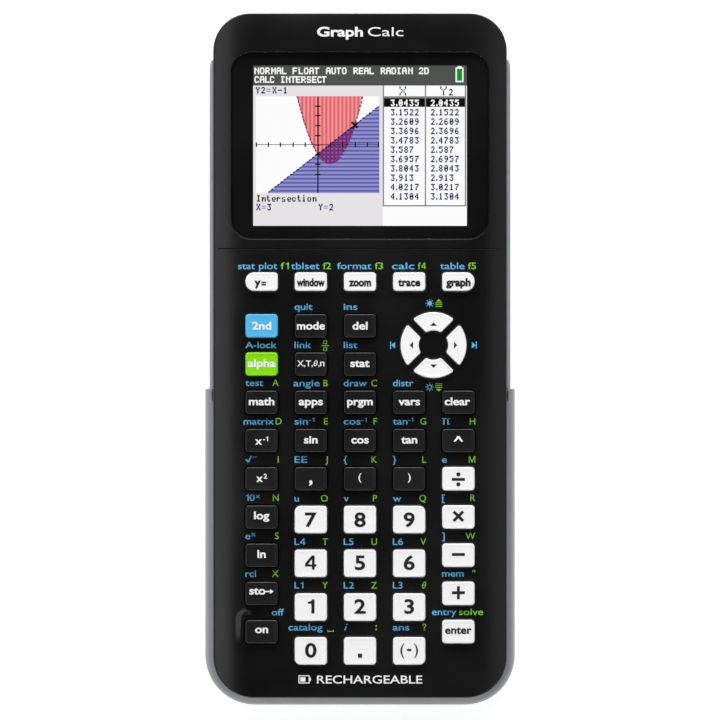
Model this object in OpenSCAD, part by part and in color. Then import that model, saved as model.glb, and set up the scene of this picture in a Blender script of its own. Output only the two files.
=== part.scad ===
// Graphing calculator lying face up on its slide cover.
// X runs across the keys, Y runs up towards the display end, Z is up out of the face.
// The origin is under the middle of the whole object, on the surface it lies on.

/* [Case] */
// Width over the front case
case_w = 79.3; // [79:0.1:80]
// Length over the front case
case_len = 184.6; // [184:0.1:186]
// Corner radius at the display end
case_top_r = 10; // [8:0.5:12]
// Corner radius at the number end
case_bottom_r = 11; // [9:0.5:12]
// Height of the flat of the face over the surface the cover lies on
face_z = 17.4; // [17:0.1:18]
// Height of the split between front and rear case
split_z = 10.8; // [10.5:0.1:11]
// Wall thickness of both shells
wall = 1.8; // [1.5:0.1:2]
// Half width of the flat middle of the face
flat_half = 29.5; // [28:0.5:31]
// Radius of the roll-off along both sides of the face
roll_r = 30; // [26:1:36]

/* [Display] */
// Width of the clear window
window_w = 69.4; // [68:0.1:70]
// Height of the clear window, along Y
window_h = 50.4; // [49:0.1:51]
// Corner radius of the window
window_r = 5.5; // [4:0.5:7]
// Place of the window's middle along Y
window_y = 57.85; // [57:0.05:59]
// Width of the lit area
lit_w = 57.7; // [56:0.1:59]
// Height of the lit area, along Y
lit_h = 43.3; // [42:0.1:44]

/* [Keys] */
// Distance between key columns
column_pitch = 13.25; // [13:0.05:13.5]
// Distance between rows of standard keys
row_pitch = 10.3; // [10:0.1:10.4]
// Distance between rows of number keys
number_pitch = 11.8; // [11.5:0.1:12]
// Width of every key cap
cap_w = 8.9; // [8.5:0.1:9.1]
// Height of a function key cap, along Y
function_h = 5.3; // [5:0.1:5.5]
// Height of a standard key cap, along Y
standard_h = 6.5; // [6:0.1:6.7]
// Height of a number key cap, along Y
number_h = 7.7; // [7.3:0.1:7.9]
// How far the key tops stand over the face
key_proud = 1.4; // [1.2:0.1:1.6]
// Gap all round between a key cap and its opening
key_gap = 0.2; // [0.15:0.05:0.3]
// How far a key can be pressed
key_travel = 1; // [0.8:0.1:1]
// Outer radius of the arrow ring
ring_out = 8.9; // [8.5:0.1:9.2]
// Inner radius of the arrow ring
ring_in = 3.95; // [3.6:0.05:4.2]
// Width of the four ribs between the arrow keys
ring_rib = 2.05; // [1.8:0.05:2.3]

/* [Slide cover] */
// Width over the tall walls of the cover
cover_w = 84; // [84:0.1:85]
// Length of the cover past the case at the number end
cover_lip = 2.4; // [2.3:0.1:2.5]
// Thickness of the cover's floor and tall walls
cover_t = 1.6; // [1.4:0.1:1.8]
// Height of the tall walls beside the keys
tall_h = 10.4; // [10.2:0.1:10.5]
// Height of the low walls beside the display
low_h = 5.2; // [4.8:0.1:5.3]
// How far the low walls stand in from the tall ones
low_inset = 1.05; // [0.9:0.05:1.2]
// Place of the step between low and tall walls, along Y
step_y = -7.8; // [-9:0.1:-7]

/* [Battery] */
// Width of the battery pack
battery_w = 34; // [30:1:34]
// Length of the battery pack, along Y
battery_l = 50; // [46:1:50]
// Thickness of the battery pack
battery_t = 5.2; // [4.8:0.1:5.3]

/* [Hidden] */
$fn = 48;
fine = 0.01;

// Outline of the case. The whole object's length is centred on the origin.
case_top_y = (case_len + cover_lip) / 2;
case_bottom_y = case_top_y - case_len;
case_mid_y = (case_top_y + case_bottom_y) / 2;
case_half = case_w / 2;

// Levels in the stack, from the surface up
back_z = 2.2;
rear_floor_z = 3.8;
board_z = 10.2;
board_t = 1.2;
mat_z = board_z + board_t;
mat_t = 0.6;
plate_z = face_z - wall;
flange_t = 0.8;
flange_z = plate_z - 0.2 - flange_t;
stem_z = flange_z - 0.8;
key_top_z = face_z + key_proud;
window_t = 1.2;
window_z = face_z - 0.1 - window_t;
ledge_z = 15.2;

// Keys
rim = 0.6;
cap_step = 0.35;
stem_r = 1.5;
dome_r = 2.7;
dome_top_z = flange_z - key_travel - 0.3;
function_y = 21.1;
first_row_y = 9.2;
first_number_y = -43;
ring_x = 19.8;
ring_y = 4;
soft_r = 0.9;
end_r = 2.3;
block_r = 1.6;

// Rear case steps that the cover's walls run beside
run_in = 1.05;
rebate_in = 2.05;
rebate_z = 8.7;
shoulder_z = 5.6;
cavity_in = 3.65;
bevel = 1.2;

// Slide cover
cover_inner = case_half - 0.75;
tall_out = cover_w / 2 - cover_inner;
low_out = tall_out - low_inset;
cover_top_y = 86;
cover_corner_r = 13.5;
cover_corner_y = case_bottom_y - cover_lip + cover_corner_r;
cover_end_r = 7;
rail_in = 0.8;

// Screws: posts at the two ends and below the display
SCREWS = [[30, 87.6], [34.9, 24], [30, -86.2]];
DOOR_SCREW = [0, 11.5];
shank_r = 1;
bore_r = 0.9;
clear_r = 1.15;
head_r = 1.9;
head_z = 2.5;
seat_z = 3.7;
boss_r = 2.4;
post_r = 2.8;

// Battery bay and door
door_w = 40;
door_l = 62;
door_y = 39;
door_t = 1.4;
door_gap = 0.2;
bay_w = battery_w + 2;
bay_l = battery_l + 2;
bay_y = 41;
bay_top_z = 9.8;
battery_z = 4;

// Socket on the right side
socket_y = 70.5;
socket_w = 7.7;
socket_h = 3.9;

FUNCTION_ROW = ["key_y_equals", "key_window", "key_zoom", "key_trace", "key_graph"];
STANDARD_ROWS = [
    ["key_second", "key_mode", "key_delete", "", ""],
    ["key_alpha", "key_variable", "key_stat", "", ""],
    ["key_math", "key_apps", "key_program", "key_vars", "key_clear"],
    ["key_inverse", "key_sine", "key_cosine", "key_tangent", "key_power"],
    ["key_square", "key_comma", "key_open_bracket", "key_close_bracket", "key_divide"],
    ["key_log", "", "", "", "key_multiply"],
    ["key_ln", "", "", "", "key_minus"],
    ["key_store", "", "", "", "key_plus"],
    ["key_on", "", "", "", "key_enter"]
];
NUMBER_ROWS = [
    ["key_7", "key_8", "key_9"],
    ["key_4", "key_5", "key_6"],
    ["key_1", "key_2", "key_3"],
    ["key_0", "key_point", "key_negative"]
];
ARROWS = ["key_right", "key_up", "key_left", "key_down"];
WHITE_STANDARD = ["key_divide", "key_multiply", "key_minus", "key_plus", "key_enter"];

// Every key with a cap of its own: name, place of its middle, height along Y
CAPS = concat(
    [for (i = [0:4]) [FUNCTION_ROW[i], [(i - 2) * column_pitch, function_y], function_h]],
    [for (r = [0:8]) for (i = [0:4]) if (STANDARD_ROWS[r][i] != "")
        [STANDARD_ROWS[r][i], [(i - 2) * column_pitch, first_row_y - r * row_pitch], standard_h]],
    [for (r = [0:3]) for (i = [0:2])
        [NUMBER_ROWS[r][i], [(i - 1) * column_pitch, first_number_y - r * number_pitch], number_h]]
);

function has(list, name) = len([for (item = list) if (item == name) 1]) > 0;

// Corner radii of a cap: top right, top left, bottom left, bottom right
function cap_corners(name) =
    name == "key_y_equals" ? [soft_r, end_r, end_r, soft_r] :
    name == "key_graph" ? [end_r, soft_r, soft_r, end_r] :
    name == "key_7" ? [soft_r, block_r, soft_r, soft_r] :
    name == "key_9" ? [block_r, soft_r, soft_r, soft_r] :
    name == "key_0" ? [soft_r, soft_r, block_r, soft_r] :
    name == "key_negative" ? [soft_r, soft_r, soft_r, block_r] :
    [soft_r, soft_r, soft_r, soft_r];

function cap_colour(cap) =
    cap[0] == "key_second" ? "#57b9ea" :
    cap[0] == "key_alpha" ? "#84d703" :
    cap[2] != standard_h || has(WHITE_STANDARD, cap[0]) ? "#eeeeee" : "#1e1e1e";

// A rounded rectangle round the origin, with a radius for each corner
module rounded_plate(w, h, r) {
    x = w / 2;
    y = h / 2;
    polygon([[x, y - r[0]], [x - r[0], y], [r[1] - x, y], [-x, y - r[1]],
             [-x, r[2] - y], [r[2] - x, -y], [x - r[3], -y], [x, r[3] - y]]);
    translate([x - r[0], y - r[0]]) circle(r[0]);
    translate([r[1] - x, y - r[1]]) circle(r[1]);
    translate([r[2] - x, r[2] - y]) circle(r[2]);
    translate([x - r[3], r[3] - y]) circle(r[3]);
}

module even_plate(w, h, r) {
    rounded_plate(w, h, [r, r, r, r]);
}

// The slab between two levels, with a flat shape as its outline
module slab(low, high) {
    translate([0, 0, low]) linear_extrude(high - low) children();
}

// Outline of the case, taken in by a distance all round
module case_plan(inset = 0) {
    top = case_top_r - inset;
    bottom = case_bottom_r - inset;
    translate([0, case_mid_y])
        rounded_plate(case_w - 2 * inset, case_len - 2 * inset, [top, top, bottom, bottom]);
}

module both_sides() {
    children();
    mirror([1, 0, 0]) children();
}

module at_screws() {
    for (place = SCREWS) {
        translate(place) children();
        translate([-place[0], place[1]]) children();
    }
}

// Section of the front case across its width: flat middle, rolled-off sides, bevelled edges
module crown_section() {
    edge_z = face_z - roll_r + sqrt(roll_r ^ 2 - (case_half - flat_half) ^ 2);
    intersection() {
        polygon([[-case_half, split_z], [case_half, split_z], [case_half, edge_z - 0.8],
                 [case_half - 0.9, edge_z + 0.2], [flat_half, face_z + 1], [-flat_half, face_z + 1],
                 [0.9 - case_half, edge_z + 0.2], [-case_half, edge_z - 0.8]]);
        union() {
            translate([-flat_half, split_z - 1]) square([2 * flat_half, face_z - split_z + 1]);
            both_sides() translate([flat_half, face_z - roll_r]) circle(roll_r, $fn = 180);
        }
    }
}

module crown_block() {
    translate([0, case_top_y + 1, 0]) rotate([90, 0, 0])
        linear_extrude(case_len + 2) crown_section();
}

// One quarter of the arrow ring, pointing along +X. The rib sides run at 45 degrees.
module ring_quarter(r_in, r_out, side_gap) {
    apex = (ring_rib / 2 + side_gap) * sqrt(2);
    intersection() {
        difference() {
            circle(r_out);
            circle(r_in);
        }
        polygon([[apex, 0], [apex + 12, 12], [apex + 12, -12]]);
    }
}

module key_openings() {
    for (cap = CAPS)
        translate(cap[1])
            rounded_plate(cap_w + 2 * key_gap, cap[2] + 2 * key_gap,
                          [for (r = cap_corners(cap[0])) r + key_gap]);
    for (turn = [0:3])
        translate([ring_x, ring_y]) rotate(90 * turn)
            ring_quarter(ring_in - key_gap, ring_out + key_gap, -key_gap);
}

module front_case() {
    color("#191919") {
        difference() {
            intersection() {
                slab(split_z, face_z + fine) case_plan();
                crown_block();
            }
            slab(split_z - 1, plate_z) case_plan(wall);
            slab(plate_z - 1, face_z + 1) key_openings();
            translate([0, window_y, 0]) {
                slab(window_z - 0.05, face_z + 1)
                    even_plate(window_w + 0.3, window_h + 0.3, window_r + 0.15);
                slab(plate_z - 1, face_z + 1) even_plate(lit_w + 3.3, lit_h + 3.3, 1.5);
            }
            // Cross seam under the display
            translate([0, 30, face_z]) cube([78, 0.25, 0.4], center = true);
        }
        // Ledge that carries the window's rim
        translate([0, window_y, 0]) slab(ledge_z, plate_z + 0.1) difference() {
            even_plate(window_w + 3, window_h + 3, window_r);
            even_plate(lit_w + 3.3, lit_h + 3.3, 1.5);
        }
        at_screws() difference() {
            slab(split_z, plate_z + 0.1) circle(boss_r);
            slab(split_z - 1, plate_z - wall / 3) circle(bore_r);
        }
        // Guard beside the on key
        translate([-2 * column_pitch - cap_w / 2 - 1.4, first_row_y - 8 * row_pitch + 0.5, 0])
            slab(plate_z + 0.5, face_z + 0.4) even_plate(1, 8, 0.45);
        // Stops over the ends of the cover's tall walls
        both_sides() intersection() {
            translate([case_half - 2.8, step_y - 1.75, 0]) slab(11.2, 13.8) circle(3.3);
            translate([case_half - 0.9, step_y - 4, 11]) cube([3, 5, 4]);
        }
    }
}

module display_window() {
    color("#0d0d0d", 0.6) translate([0, window_y, 0])
        slab(window_z, window_z + window_t) even_plate(window_w, window_h, window_r);
}

// Metal tray, glass, gasket, foam pads and ribbon of the display
module display_module() {
    tray_w = 69.2;
    tray_h = 50;
    tray_z = 12.8;
    glass_z = 13.4;
    color("#8a8f94") translate([0, window_y, 0]) difference() {
        slab(tray_z, glass_z + 0.9) even_plate(tray_w, tray_h, 0.8);
        slab(glass_z - 0.05, glass_z + 2) square([tray_w - 1, tray_h - 1], center = true);
    }
    color("#202830") translate([0, window_y, 0])
        slab(glass_z, glass_z + 1.5) square([tray_w - 2, tray_h - 2], center = true);
    color("#101010") translate([0, window_y, 0]) slab(glass_z + 1.55, ledge_z) difference() {
        square([tray_w - 3, tray_h - 2], center = true);
        square([lit_w + 2, lit_h + 2], center = true);
    }
    for (y = [-20, 20])
        color("#303030") translate([0, window_y + y, 0])
            slab(mat_z, tray_z - 0.05) square([54, 4], center = true);
    color("#c87828") translate([-8, window_y - tray_h / 2 - 2.6, mat_z]) {
        cube([16, 2.5, 0.25]);
        cube([16, 0.25, 1.9]);
        translate([0, 0, 1.65]) cube([16, 2.5, 0.25]);
    }
}

module key_mat() {
    color("#9aa0a6") {
        slab(mat_z, mat_z + mat_t) translate([-30.9, -82.2]) square([61.8, 107.6]);
        for (cap = CAPS) translate(cap[1]) dome();
        for (turn = [0:3]) translate([ring_x, ring_y]) rotate(90 * turn)
            translate([(ring_in + ring_out) / 2, 0]) dome();
    }
}

module dome() {
    slab(mat_z + mat_t - 0.1, dome_top_z) difference() {
        circle(dome_r);
        circle(stem_r + 0.4);
    }
}

// Circuit board with chips, socket, battery contacts, display connector and reset switch
module main_board() {
    under_z = board_z - 0.02;
    color("#1f6b3a") slab(board_z, mat_z) difference() {
        union() {
            translate([-31, -82.4]) square([62, 166.4]);
            translate([30, socket_y - 6.5]) square([6.4, 13]);
        }
        translate([0, 29.2]) square([12, 3], center = true);
    }
    color("#202020") {
        for (chip = [[-14, -20, 12, 1.2], [10, -22, 10, 1.1], [-6, -48, 9, 1], [14, -2, 7, 1]])
            translate([chip[0], chip[1], 0]) slab(under_z - chip[3], under_z)
                square([chip[2], chip[2]], center = true);
    }
    color("#c0a060") for (x = [-5, 0, 5])
        translate([x, 62, 0]) slab(under_z - 0.72, under_z) square([2.4, 4], center = true);
    color("#d8d8d8") {
        difference() {
            translate([29.6, socket_y - socket_w / 2, under_z - socket_h])
                cube([9.1, socket_w, socket_h]);
            translate([31, socket_y - socket_w / 2 + 0.4, under_z - socket_h + 0.4])
                cube([9, socket_w - 0.8, socket_h - 0.8]);
        }
        translate([31.5, socket_y - 2.4, under_z - socket_h / 2 - 0.5]) cube([5.5, 4.8, 1]);
    }
    // Reset switch, reached through a small hole in the rear case
    color("#a0a4a8") translate([26, 40, 0]) {
        slab(under_z - 1.5, under_z) square([4.5, 4.5], center = true);
        slab(under_z - 2.3, under_z - 1.5) circle(0.9);
    }
}

module battery_pack() {
    color("#3a6ea8") translate([0, bay_y, 0]) {
        slab(battery_z, battery_z + battery_t) even_plate(battery_w, battery_l, 2);
    }
}

module battery_door() {
    color("#202020") difference() {
        union() {
            translate([0, door_y, 0]) slab(back_z, back_z + door_t) even_plate(door_w, door_l, 3);
            for (x = [-12, 12])
                translate([x, door_y + door_l / 2, 0])
                    slab(back_z + 0.7, back_z + door_t) square([6, 3.2], center = true);
        }
        translate(DOOR_SCREW) {
            slab(back_z - 1, 3) circle(head_r + 0.15);
            slab(back_z - 1, back_z + door_t + 1) circle(clear_r);
        }
    }
}

module rear_case() {
    color("#1c1c1c") {
        difference() {
            union() {
                slab(back_z, back_z + bevel) case_plan(run_in + bevel);
                slab(back_z + bevel, rebate_z) case_plan(run_in);
                slab(rebate_z, split_z) case_plan(rebate_in);
                intersection() {
                    slab(shoulder_z, split_z) case_plan();
                    translate([-50, step_y + 0.3, 0]) cube([100, 120, 20]);
                }
            }
            slab(rear_floor_z, split_z + 1) case_plan(cavity_in);
            intersection() {
                slab(shoulder_z + wall, split_z + 1) case_plan(wall);
                translate([-50, step_y + 0.3 + wall, 0]) cube([100, 120, 20]);
            }
            rear_openings();
        }
        at_screws() difference() {
            slab(back_z + 0.5, split_z) circle(post_r);
            screw_way();
        }
        battery_bay();
        // Rests for the circuit board
        both_sides() for (y = [-60, -12, 55])
            translate([28.5, y, 0]) slab(rear_floor_z - 0.2, board_z) circle(1.4);
    }
}

// Way for a case screw up a post: a counterbore for the head, then a clear hole
module screw_way() {
    slab(back_z - 1, seat_z) circle(head_r + 0.2);
    slab(back_z - 1, split_z + 1) circle(clear_r);
}

module rear_openings() {
    at_screws() screw_way();
    translate([26, 40, 0]) slab(back_z - 1, rear_floor_z + 1) circle(1.1);
    translate([0, door_y, 0]) slab(back_z - 1, rear_floor_z + 1)
        even_plate(door_w + 2 * door_gap, door_l + 2 * door_gap, 3 + door_gap);
    for (x = [-12, 12])
        translate([x, door_y + door_l / 2 + 1.5, 0])
            slab(back_z + 0.5, rear_floor_z + 1) square([6.6, 3.4], center = true);
    translate([30, socket_y - socket_w / 2 - 0.3, board_z - socket_h - 0.3])
        cube([12, socket_w + 0.6, socket_h + 0.5]);
}

// Walls round the battery, with the ledge that the door closes against and the door screw's block
module battery_bay() {
    ledge_low = back_z + door_t + 0.05;
    difference() {
        translate([0, door_y, 0]) slab(ledge_low, bay_top_z)
            even_plate(door_w + 4, door_l + 7, 4);
        translate([0, bay_y, 0]) slab(ledge_low - 1, bay_top_z + 1) even_plate(bay_w, bay_l, 2.5);
        translate([0, bay_y, 0]) slab(5, bay_top_z + 1) difference() {
            even_plate(door_w + 1, bay_l + 4, 3);
            even_plate(bay_w + 2.4, bay_l + 2.4, 3);
        }
        translate(DOOR_SCREW) slab(ledge_low - 1, bay_top_z - 1) circle(bore_r);
    }
}

// Case screws and the door screw, each with a cross recess
module screws() {
    color("#707478") {
        at_screws() screw(head_z, seat_z, 14.6);
        translate(DOOR_SCREW) screw(back_z + 0.05, 3, 8);
    }
}

module screw(low, seat, tip) {
    difference() {
        union() {
            slab(low, seat) circle(head_r);
            slab(seat - 0.1, tip) circle(shank_r);
        }
        slab(low - 1, low + 0.5) {
            square([2.4, 0.5], center = true);
            square([0.5, 2.4], center = true);
        }
    }
}

// Section of a cover wall outwards from its inner face, curling back in at its top
module wall_section(out, high, t) {
    intersection() {
        translate([0, -1]) square([out + 1, high + 2]);
        difference() {
            wall_shape(out, out, high);
            wall_shape(out - t, out, high);
        }
    }
}

module wall_shape(r, bend, high) {
    translate([0, bend]) circle(r);
    translate([-r, bend]) square([2 * r, high - 2 * bend]);
    translate([0, high - bend]) circle(r);
}

// A cover wall along Y between two places, on the right side
module straight_wall(low_y, high_y, out, high, t) {
    translate([cover_inner, high_y, 0]) rotate([90, 0, 0])
        linear_extrude(high_y - low_y) wall_section(out, high, t);
}

module slide_cover() {
    inner_r = cover_corner_r - tall_out;
    corner_x = cover_inner - inner_r;
    color("#b4b6ba") {
        difference() {
            union() {
                floor_y = (cover_top_y + cover_corner_y - inner_r) / 2;
                floor_l = cover_top_y - cover_corner_y + inner_r;
                slab(0, cover_t) translate([0, floor_y])
                    rounded_plate(2 * cover_inner, floor_l, [2, 2, inner_r, inner_r]);
                both_sides() {
                    straight_wall(step_y, cover_top_y, low_out, low_h, 1.2);
                    straight_wall(cover_corner_y, step_y, tall_out, tall_h, cover_t);
                    translate([corner_x, cover_corner_y, 0]) rotate([0, 0, -90])
                        rotate_extrude(angle = 90)
                            translate([inner_r, 0]) wall_section(tall_out, tall_h, cover_t);
                    // Rail that holds the cover in the case's rebate
                    translate([cover_inner - rail_in, cover_corner_y + 1, tall_h - 1.5])
                        cube([rail_in + 0.3, step_y - cover_corner_y - 1.4, 1.4]);
                }
                translate([-corner_x, cover_corner_y - inner_r, 0]) rotate([90, 0, 90])
                    linear_extrude(2 * corner_x) mirror([1, 0])
                        wall_section(tall_out, tall_h, cover_t);
            }
            both_sides()
                translate([cover_inner + low_out - cover_end_r, cover_top_y - cover_end_r, 0])
                    slab(-1, low_h + 1) difference() {
                        square([cover_end_r + 1, cover_end_r + 1]);
                        circle(cover_end_r);
                    }
        }
    }
}

module cap_key(cap) {
    corners = cap_corners(cap[0]);
    color(cap_colour(cap)) translate([cap[1][0], cap[1][1], 0]) {
        slab(flange_z + flange_t - 0.1, key_top_z - cap_step) rounded_plate(cap_w, cap[2], corners);
        slab(flange_z, key_top_z)
            rounded_plate(cap_w - 2 * cap_step, cap[2] - 2 * cap_step, [for (r = corners) r - cap_step]);
        slab(flange_z, flange_z + flange_t)
            rounded_plate(cap_w + 2 * rim, cap[2] + 2 * rim, [for (r = corners) r + rim]);
        slab(stem_z, flange_z + 0.1) circle(stem_r);
    }
}

module arrow_key(turn) {
    color("#eeeeee") translate([ring_x, ring_y, 0]) rotate(90 * turn) {
        slab(flange_z + flange_t - 0.1, key_top_z - cap_step) ring_quarter(ring_in, ring_out, 0);
        slab(flange_z, key_top_z)
            ring_quarter(ring_in + cap_step, ring_out - cap_step, cap_step);
        slab(flange_z, flange_z + flange_t) ring_quarter(ring_in - rim, ring_out + rim, 0);
        translate([(ring_in + ring_out) / 2, 0]) slab(stem_z, flange_z + 0.1) circle(stem_r);
    }
}

slide_cover();
rear_case();
battery_door();
battery_pack();
main_board();
key_mat();
display_module();
display_window();
front_case();
screws();
for (cap = CAPS)
    cap_key(cap);
for (turn = [0:3])
    arrow_key(turn);
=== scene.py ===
# %% [markdown]
# # A graphing calculator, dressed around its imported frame
#
# The calculator lies face up on its slide cover. Its CAD model already says where every shell, key and
# board sits, so this lesson only adds what the eye needs: soft edges, moulded plastics, printed legends
# and a lit display. Lengths are written in millimetres and turned to metres once, when a mesh is made.

# %% Load the frame
import functools
import math
import re

import bmesh
import bpy
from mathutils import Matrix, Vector, geometry


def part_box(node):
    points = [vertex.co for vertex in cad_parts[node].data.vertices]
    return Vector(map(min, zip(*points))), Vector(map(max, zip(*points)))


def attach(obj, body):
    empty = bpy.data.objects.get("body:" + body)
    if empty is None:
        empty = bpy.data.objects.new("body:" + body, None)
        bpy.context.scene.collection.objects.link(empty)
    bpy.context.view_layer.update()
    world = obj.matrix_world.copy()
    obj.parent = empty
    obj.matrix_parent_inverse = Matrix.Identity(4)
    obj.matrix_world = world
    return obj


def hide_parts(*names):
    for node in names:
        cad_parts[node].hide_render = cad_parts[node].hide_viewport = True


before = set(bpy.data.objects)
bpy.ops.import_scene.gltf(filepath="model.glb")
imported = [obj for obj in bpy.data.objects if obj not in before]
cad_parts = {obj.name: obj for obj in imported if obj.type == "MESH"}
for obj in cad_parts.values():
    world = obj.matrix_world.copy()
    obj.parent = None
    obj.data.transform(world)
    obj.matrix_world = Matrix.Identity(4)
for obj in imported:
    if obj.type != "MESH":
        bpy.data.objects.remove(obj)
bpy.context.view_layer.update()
MM = 0.001

# %% [markdown]
# ## Camera and light
#
# A flat product view looks straight down on the face. A long lens from far away keeps the side walls
# upright, as an architect's shift lens does. Two boxes at the ends light the keys from so low that the face
# does not mirror them. Two dim, wide panels hang at the sides, and only the rolled-off edges of the case
# show them, as bands that fade into the flat middle. That is how a studio keeps a black object black.

# %% Camera, lamps, world and floor
VIEW_WIDTH = 194.4
LENS = 300.0
SENSOR = 36.0
FACE_LEVEL = 15.0


def add_object(name, data):
    """A new object in the scene."""
    made = bpy.data.objects.new(name, data)
    bpy.context.collection.objects.link(made)
    return made


camera = add_object("camera", bpy.data.cameras.new("camera"))
camera.data.lens = LENS
camera.data.sensor_width = SENSOR
camera.data.clip_end = 20.0
camera.location = (0, 0, (VIEW_WIDTH * LENS / SENSOR + FACE_LEVEL) * MM)
bpy.context.scene.camera = camera


def linear(hex_colour):
    """An sRGB hex colour as linear red, green, blue and alpha."""
    parts = [int(hex_colour[i : i + 2], 16) / 255 for i in (1, 3, 5)]
    return [c / 12.92 if c <= 0.04045 else ((c + 0.055) / 1.055) ** 2.4 for c in parts] + [1.0]


def add_node(tree, kind, inputs=None, **settings):
    """Add a node. Inputs are values, or sockets to link from."""
    node = tree.nodes.new(kind)
    for name, value in settings.items():
        setattr(node, name, value)
    for name, value in (inputs or {}).items():
        if isinstance(value, bpy.types.NodeSocket):
            tree.links.new(value, node.inputs[name])
        else:
            node.inputs[name].default_value = value
    return node


def soft_box(name, place, size, watts):
    """A rectangular lamp that faces the middle of the calculator."""
    lamp = bpy.data.lights.new(name, "AREA")
    lamp.shape = "RECTANGLE"
    lamp.size, lamp.size_y = size
    lamp.energy = watts
    lamp_object = add_object(name, lamp)
    lamp_object.location = place
    lamp_object.rotation_euler = (-Vector(place)).to_track_quat("-Z", "Y").to_euler()


soft_box("left_panel", (-1.1, 0.0, 1.3), (2.2, 1.0), 7.5)
soft_box("right_panel", (1.1, 0.0, 1.3), (2.2, 1.0), 3.0)
soft_box("far_box", (0.0, 1.2, 0.7), (1.7, 0.6), 27.0)
soft_box("near_box", (0.0, -1.3, 0.7), (1.7, 0.6), 8.0)

world = bpy.data.worlds.new("studio")
world.use_nodes = True
world_tree = world.node_tree
world_tree.nodes.clear()
sky = add_node(world_tree, "ShaderNodeTexCoord")
height = add_node(world_tree, "ShaderNodeSeparateXYZ", {"Vector": sky.outputs["Generated"]})
fade = add_node(world_tree, "ShaderNodeValToRGB", {"Fac": height.outputs["Z"]})
fade.color_ramp.elements[0].color = (0.95, 0.95, 0.95, 1)
fade.color_ramp.elements[1].position = 0.7
fade.color_ramp.elements[1].color = (0.02, 0.02, 0.02, 1)
glow = add_node(world_tree, "ShaderNodeBackground", {"Color": fade.outputs["Color"], "Strength": 0.5})
add_node(world_tree, "ShaderNodeOutputWorld", {"Surface": glow.outputs["Background"]})
bpy.context.scene.world = world
bpy.context.scene.view_settings.view_transform = "Standard"

# %% [markdown]
# ## Small helpers for meshes
#
# Nearly every moulded part here is a stack of rounded rectangles: a key, a window, an opening. A ring is
# such an outline with a fixed number of points, so rings of different size can be joined by quads. That
# gives true fillets with few faces. A Boolean with a bevel afterwards would be quicker to write, but it
# leaves slivers that a glossy plastic shows at once.

# %% Rings and skins
CORNER_STEPS = 6
QUARTER = [math.pi / 2 * i / 4 for i in range(5)]


def rounded_ring(w, h, radii, centre=(0, 0), steps=CORNER_STEPS):
    """Points round a rectangle, with radii for the top right, top left, bottom left, bottom right."""
    signs = [(1, 1), (-1, 1), (-1, -1), (1, -1)]
    ring = []
    for k, ((sx, sy), r) in enumerate(zip(signs, radii)):
        for i in range(steps + 1):
            a = math.pi / 2 * (k + i / steps)
            ring.append((centre[0] + sx * (w / 2 - r) + r * math.cos(a),
                         centre[1] + sy * (h / 2 - r) + r * math.sin(a)))
    return ring


def grown_ring(w, h, radii, grow, centre=(0, 0), steps=CORNER_STEPS):
    """The same rectangle moved outwards all round, or inwards where grow is negative."""
    return rounded_ring(w + 2 * grow, h + 2 * grow, [max(r + grow, 0.02) for r in radii], centre, steps)


def at_height(ring, z):
    """Give a flat ring a height, or a height that depends on the place."""
    return [(x, y, z(x, y) if callable(z) else z) for x, y in ring]


def stack(outline, steps):
    """Rings of one outline function, for pairs of growth and height."""
    return [at_height(outline(grow), z) for grow, z in steps]


def fillet_steps(r, top):
    """Growth and height of the rings that round off an upper edge."""
    return [(-r * (1 - math.sin(a)), top - r * (1 - math.cos(a))) for a in reversed(QUARTER)]


def join_rings(verts, faces, rings, close_first=True, close_last=True):
    """Add rings of equal length and the quads between them. Rings run from the underside to the top."""
    start, n = len(verts), len(rings[0])
    for ring in rings:
        verts.extend(ring)
    for k in range(len(rings) - 1):
        a, b = start + k * n, start + (k + 1) * n
        for i in range(n):
            j = (i + 1) % n
            faces.append((a + i, a + j, b + j, b + i))
    if close_first:
        faces.append(tuple(start + i for i in reversed(range(n))))
    if close_last:
        last = start + (len(rings) - 1) * n
        faces.append(tuple(last + i for i in range(n)))


def soften(piece, sharp_degrees=42):
    """Shade smooth, keep edges sharper than the angle, and let big flat faces set the normals."""
    mesh = piece.data
    shape = bmesh.new()
    shape.from_mesh(mesh)
    bmesh.ops.remove_doubles(shape, verts=shape.verts, dist=2e-7)
    for face in shape.faces:
        face.smooth = True
    for edge in shape.edges:
        edge.smooth = len(edge.link_faces) == 2 and edge.calc_face_angle(0) < math.radians(sharp_degrees)
    shape.to_mesh(mesh)
    shape.free()
    weighted = piece.modifiers.new("weighted normals", "WEIGHTED_NORMAL")
    weighted.keep_sharp = True
    weighted.weight = 100


def make_piece(name, verts, faces, materials, body, replaces=(), slot=None, face_materials=None, sharp=42):
    """A finished piece from points in millimetres, riding on a body."""
    mesh = bpy.data.meshes.new(name)
    mesh.from_pydata([Vector(v) * MM for v in verts], [], faces)
    for material in materials if isinstance(materials, (list, tuple)) else [materials]:
        mesh.materials.append(material)
    if face_materials:
        mesh.polygons.foreach_set("material_index", face_materials)
    piece = add_object(name, mesh)
    soften(piece, sharp)
    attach(piece, body)
    if replaces:
        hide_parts(*replaces)
    return piece


def ring_piece(name, rings, *details, closed=True):
    """A finished piece from one stack of rings. Details are those of make_piece."""
    ring_verts, ring_faces = [], []
    join_rings(ring_verts, ring_faces, rings, closed, closed)
    return make_piece(name, ring_verts, ring_faces, *details)


def box_mm(node):
    """Lowest and highest corner of a CAD node, in millimetres."""
    low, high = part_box(node)
    return Vector(low) / MM, Vector(high) / MM


# %% [markdown]
# ## Moulded plastic
#
# Every shell and key is ABS, injection moulded. The steel mould is spark eroded for a satin touch face and
# polished for the display bezel, so the plastic carries a grain of about 0.1 mm, too fine to see here. It
# is drawn at 0.35 mm so that it still breaks up the highlights. Handling polishes the grain in broad
# patches, which a second, large noise gives to the roughness.

# %% Plastic
ABS_IOR = 1.54
PATCH_MM = 24


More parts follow.
